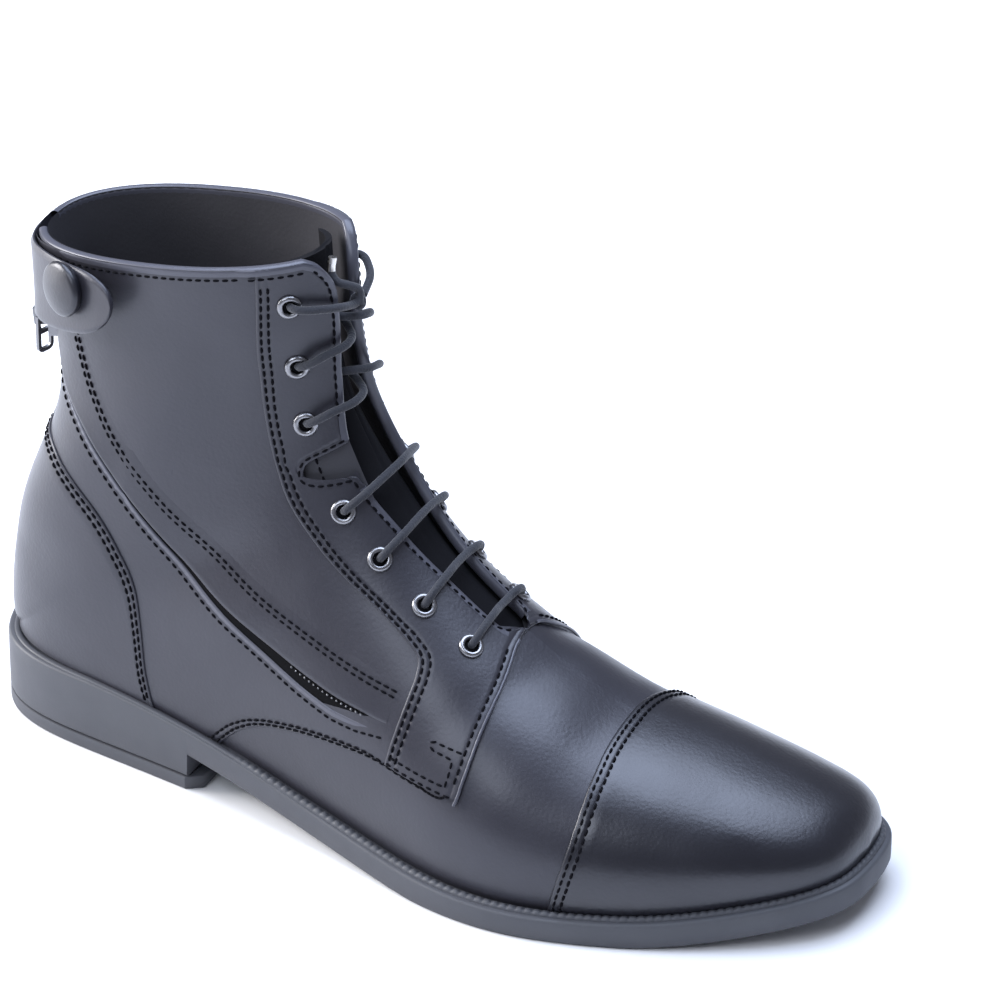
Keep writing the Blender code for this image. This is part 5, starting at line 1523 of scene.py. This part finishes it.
def make_top_lift(sections, width):
    """Heel's wearing layer, under a fine dark line."""
    high = TOP_LIFT_HEIGHT - LIFT_SINK
    profile = [(width - back, high - drop) for back, drop in LIFT_SHOULDER]
    profile += [(width - back, rise) for back, rise in LIFT_FOOT]
    lateral, medial = (swept(profile, side, sections) for _, side in SIDES)
    under = bridged(lateral[:, -1], medial[:, -1], 12)
    front = bridged(lateral[0], medial[0], 12)
    made = welded("top_lift_rubber", ((lateral, True), (medial, False), (under, True), (front, True)))
    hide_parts("heel_top_lift")


def make_welt():
    """Bead on the ledge against the upper: notched from the waist forward, plain and low at the heel."""
    sections, _ = sole_sections(760)
    foot_x, top = sole_top(sections)
    fore = ramp(foot_x, WELT_START_X - WELT_FADE / 2, WELT_FADE)
    wide, centre = (heel + more * fore for heel, more in (WELT_HALF_WIDTH, WELT_OFFSET))
    loops = []
    for _, side in SIDES:
        reach = run_lengths(sole_outline(WELT_LINE, side, sections))
        notch = 0.5 + 0.5 * np.cos(2.0 * np.pi * reach / WELT_PITCH)
        height = WELT_HEIGHT[0] + fore * (WELT_HEIGHT[1] - WELT_NOTCH * notch ** WELT_NOTCH_POWER)
        profile = []
        for angle in np.linspace(0.0, np.pi, 9):
            rise = height * math.sin(angle) ** WELT_ROUND_POWER
            profile.append((centre - wide * math.cos(angle), top - WELT_SEAT + rise))
        loops.append(swept(profile, side, sections))
    points = np.vstack([loops[0], loops[1][::-1][1:-1]])
    quads = grid_quads(*points.shape[:2], wrap_rows=True)
    made = mesh_object("welt_bead", points, quads, "rubber", sharp=70.0)
    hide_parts("welt")


def make_insole():
    """Lining board on the sole inside."""
    sections, _ = sole_sections(120)
    height = column(section_row(sections), "foot_z") + INSOLE_HEIGHT
    edges = (swept(((-INSOLE_INSET, height),), side, sections)[:, 0] for _, side in SIDES)
    rows = bridged(*edges, 16)
    rows[..., 2] += INSOLE_CURL * np.abs(np.linspace(-1.0, 1.0, 16)) ** INSOLE_CURL_POWER
    made = grid_object("insole_lining", rows, "lining")
    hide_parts("insole")


METAL_BEVEL = 0.25


def dress_metal():
    """Soft edges and metal on the slider and the pull tab."""
    for node in ("zip_slider", "zip_pull_tab"):
        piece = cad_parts[node]
        piece.data.materials.clear()
        piece.data.materials.append(MATERIALS["zip_metal"][0])
        softened = piece.modifiers.new("soft_edges", "BEVEL")
        softened.width = METAL_BEVEL * MM
        softened.segments = 2


# Camera at the photograph's angle. The photograph is 1000 pixels wide.
AZIMUTH = math.radians(27.7)
ELEVATION = math.radians(32.5)
CAMERA_DISTANCE = 2000.0
TARGET = np.array([150.0, 0.0, 70.0])
TARGET_PIXEL = (418.8, 602.5)
FOCAL_PIXELS = 6412.0
PHOTO_PIXELS = 1000.0
SENSOR = 36.0


def make_camera():
    """Camera whose middle ray meets the photograph's middle."""
    flat = math.cos(ELEVATION)
    back = np.array([math.sin(AZIMUTH) * flat, -math.cos(AZIMUTH) * flat, math.sin(ELEVATION)])
    right = np.array([math.cos(AZIMUTH), math.sin(AZIMUTH), 0.0])
    up = np.cross(back, right)
    half = PHOTO_PIXELS / 2
    ray = -back * FOCAL_PIXELS + right * (half - TARGET_PIXEL[0]) + up * (TARGET_PIXEL[1] - half)
    view_back = -unit(ray)
    view_right = unit(np.cross(up, view_back))
    turn = Matrix((view_right, np.cross(view_back, view_right), view_back)).transposed().to_4x4()
    lens = bpy.data.cameras.new("camera")
    lens.sensor_width = SENSOR
    lens.lens = FOCAL_PIXELS / PHOTO_PIXELS * SENSOR
    lens.clip_end = 20.0
    made = new_object("camera", lens)
    place = (TARGET + back * CAMERA_DISTANCE + FRAME_SHIFT) * MM
    made.matrix_world = Matrix.Translation(Vector(place)) @ turn
    bpy.context.scene.camera = made


# Studio, in metres and watts. Columns of the lights: name, place, size, power and colour.
LIGHTS = (
    ("sky", (-0.10, 0.35, 1.6), (1.7, 1.3), 46.0, (0.70, 0.80, 1.0)),
    ("front", (-0.3, -1.15, 1.35), (1.2, 0.7), 13.0, (0.84, 0.90, 1.0)),
    ("heel_side", (-1.6, -0.35, 0.7), (0.9, 1.0), 48.0, (1.0, 0.98, 0.97)),
)
LIGHT_TARGET = (0.0, 0.0, 0.08)
WORLD_COLOUR = (0.84, 0.87, 1.0, 1.0)
WORLD_STRENGTH = 0.30
FLOOR_COLOUR = (0.86, 0.86, 0.87)
FLOOR_ROUGHNESS = 0.75
FLOOR_HALF = 6.0


def make_light(name, place, size, power, colour):
    """Soft rectangular light aimed at the boot."""
    data = bpy.data.lights.new(name, "AREA")
    data.shape = "RECTANGLE"
    data.size, data.size_y = size
    data.energy = power
    data.color = colour
    made = new_object(name, data)
    made.location = place
    made.rotation_euler = (Vector(LIGHT_TARGET) - Vector(place)).to_track_quat("-Z", "Y").to_euler()


def make_studio():
    """Pale floor, pale surroundings and soft lights."""
    world = bpy.data.worlds.new("studio")
    world.use_nodes = True
    set_inputs(world.node_tree.nodes["Background"], {"Color": WORLD_COLOUR, "Strength": WORLD_STRENGTH})
    bpy.context.scene.world = world
    bpy.context.scene.view_settings.view_transform = "Standard"
    for light in LIGHTS:
        make_light(*light)
    mesh = bpy.data.meshes.new("floor")
    corners = ((-1, -1), (1, -1), (1, 1), (-1, 1))
    mesh.from_pydata([(x * FLOOR_HALF, y * FLOOR_HALF, 0.0) for x, y in corners], [], [(0, 1, 2, 3)])
    mesh.materials.append(new_material("floor", FLOOR_COLOUR, FLOOR_ROUGHNESS)[0])
    new_object("floor", mesh)


make_camera()
make_studio()
make_sole()
make_welt()
make_insole()
make_lining()
make_vamp()
upper_piece = make_quarter("lateral", LATERAL)
make_quarter("medial", MEDIAL)
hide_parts("upper")
make_toe_cap()
make_counter()
make_zip()
make_back_stay()
make_gusset()
make_eyestay("lateral", LATERAL)
make_eyestay("medial", MEDIAL)
make_collar()
make_tongue()
make_strap()
make_button()
make_eyelets()
make_laces()
dress_metal()
for seams in ("quarters", "toe_cap", "counter", "eyestays", "zip", "collar"):
    make_stitches("stitches_" + seams)
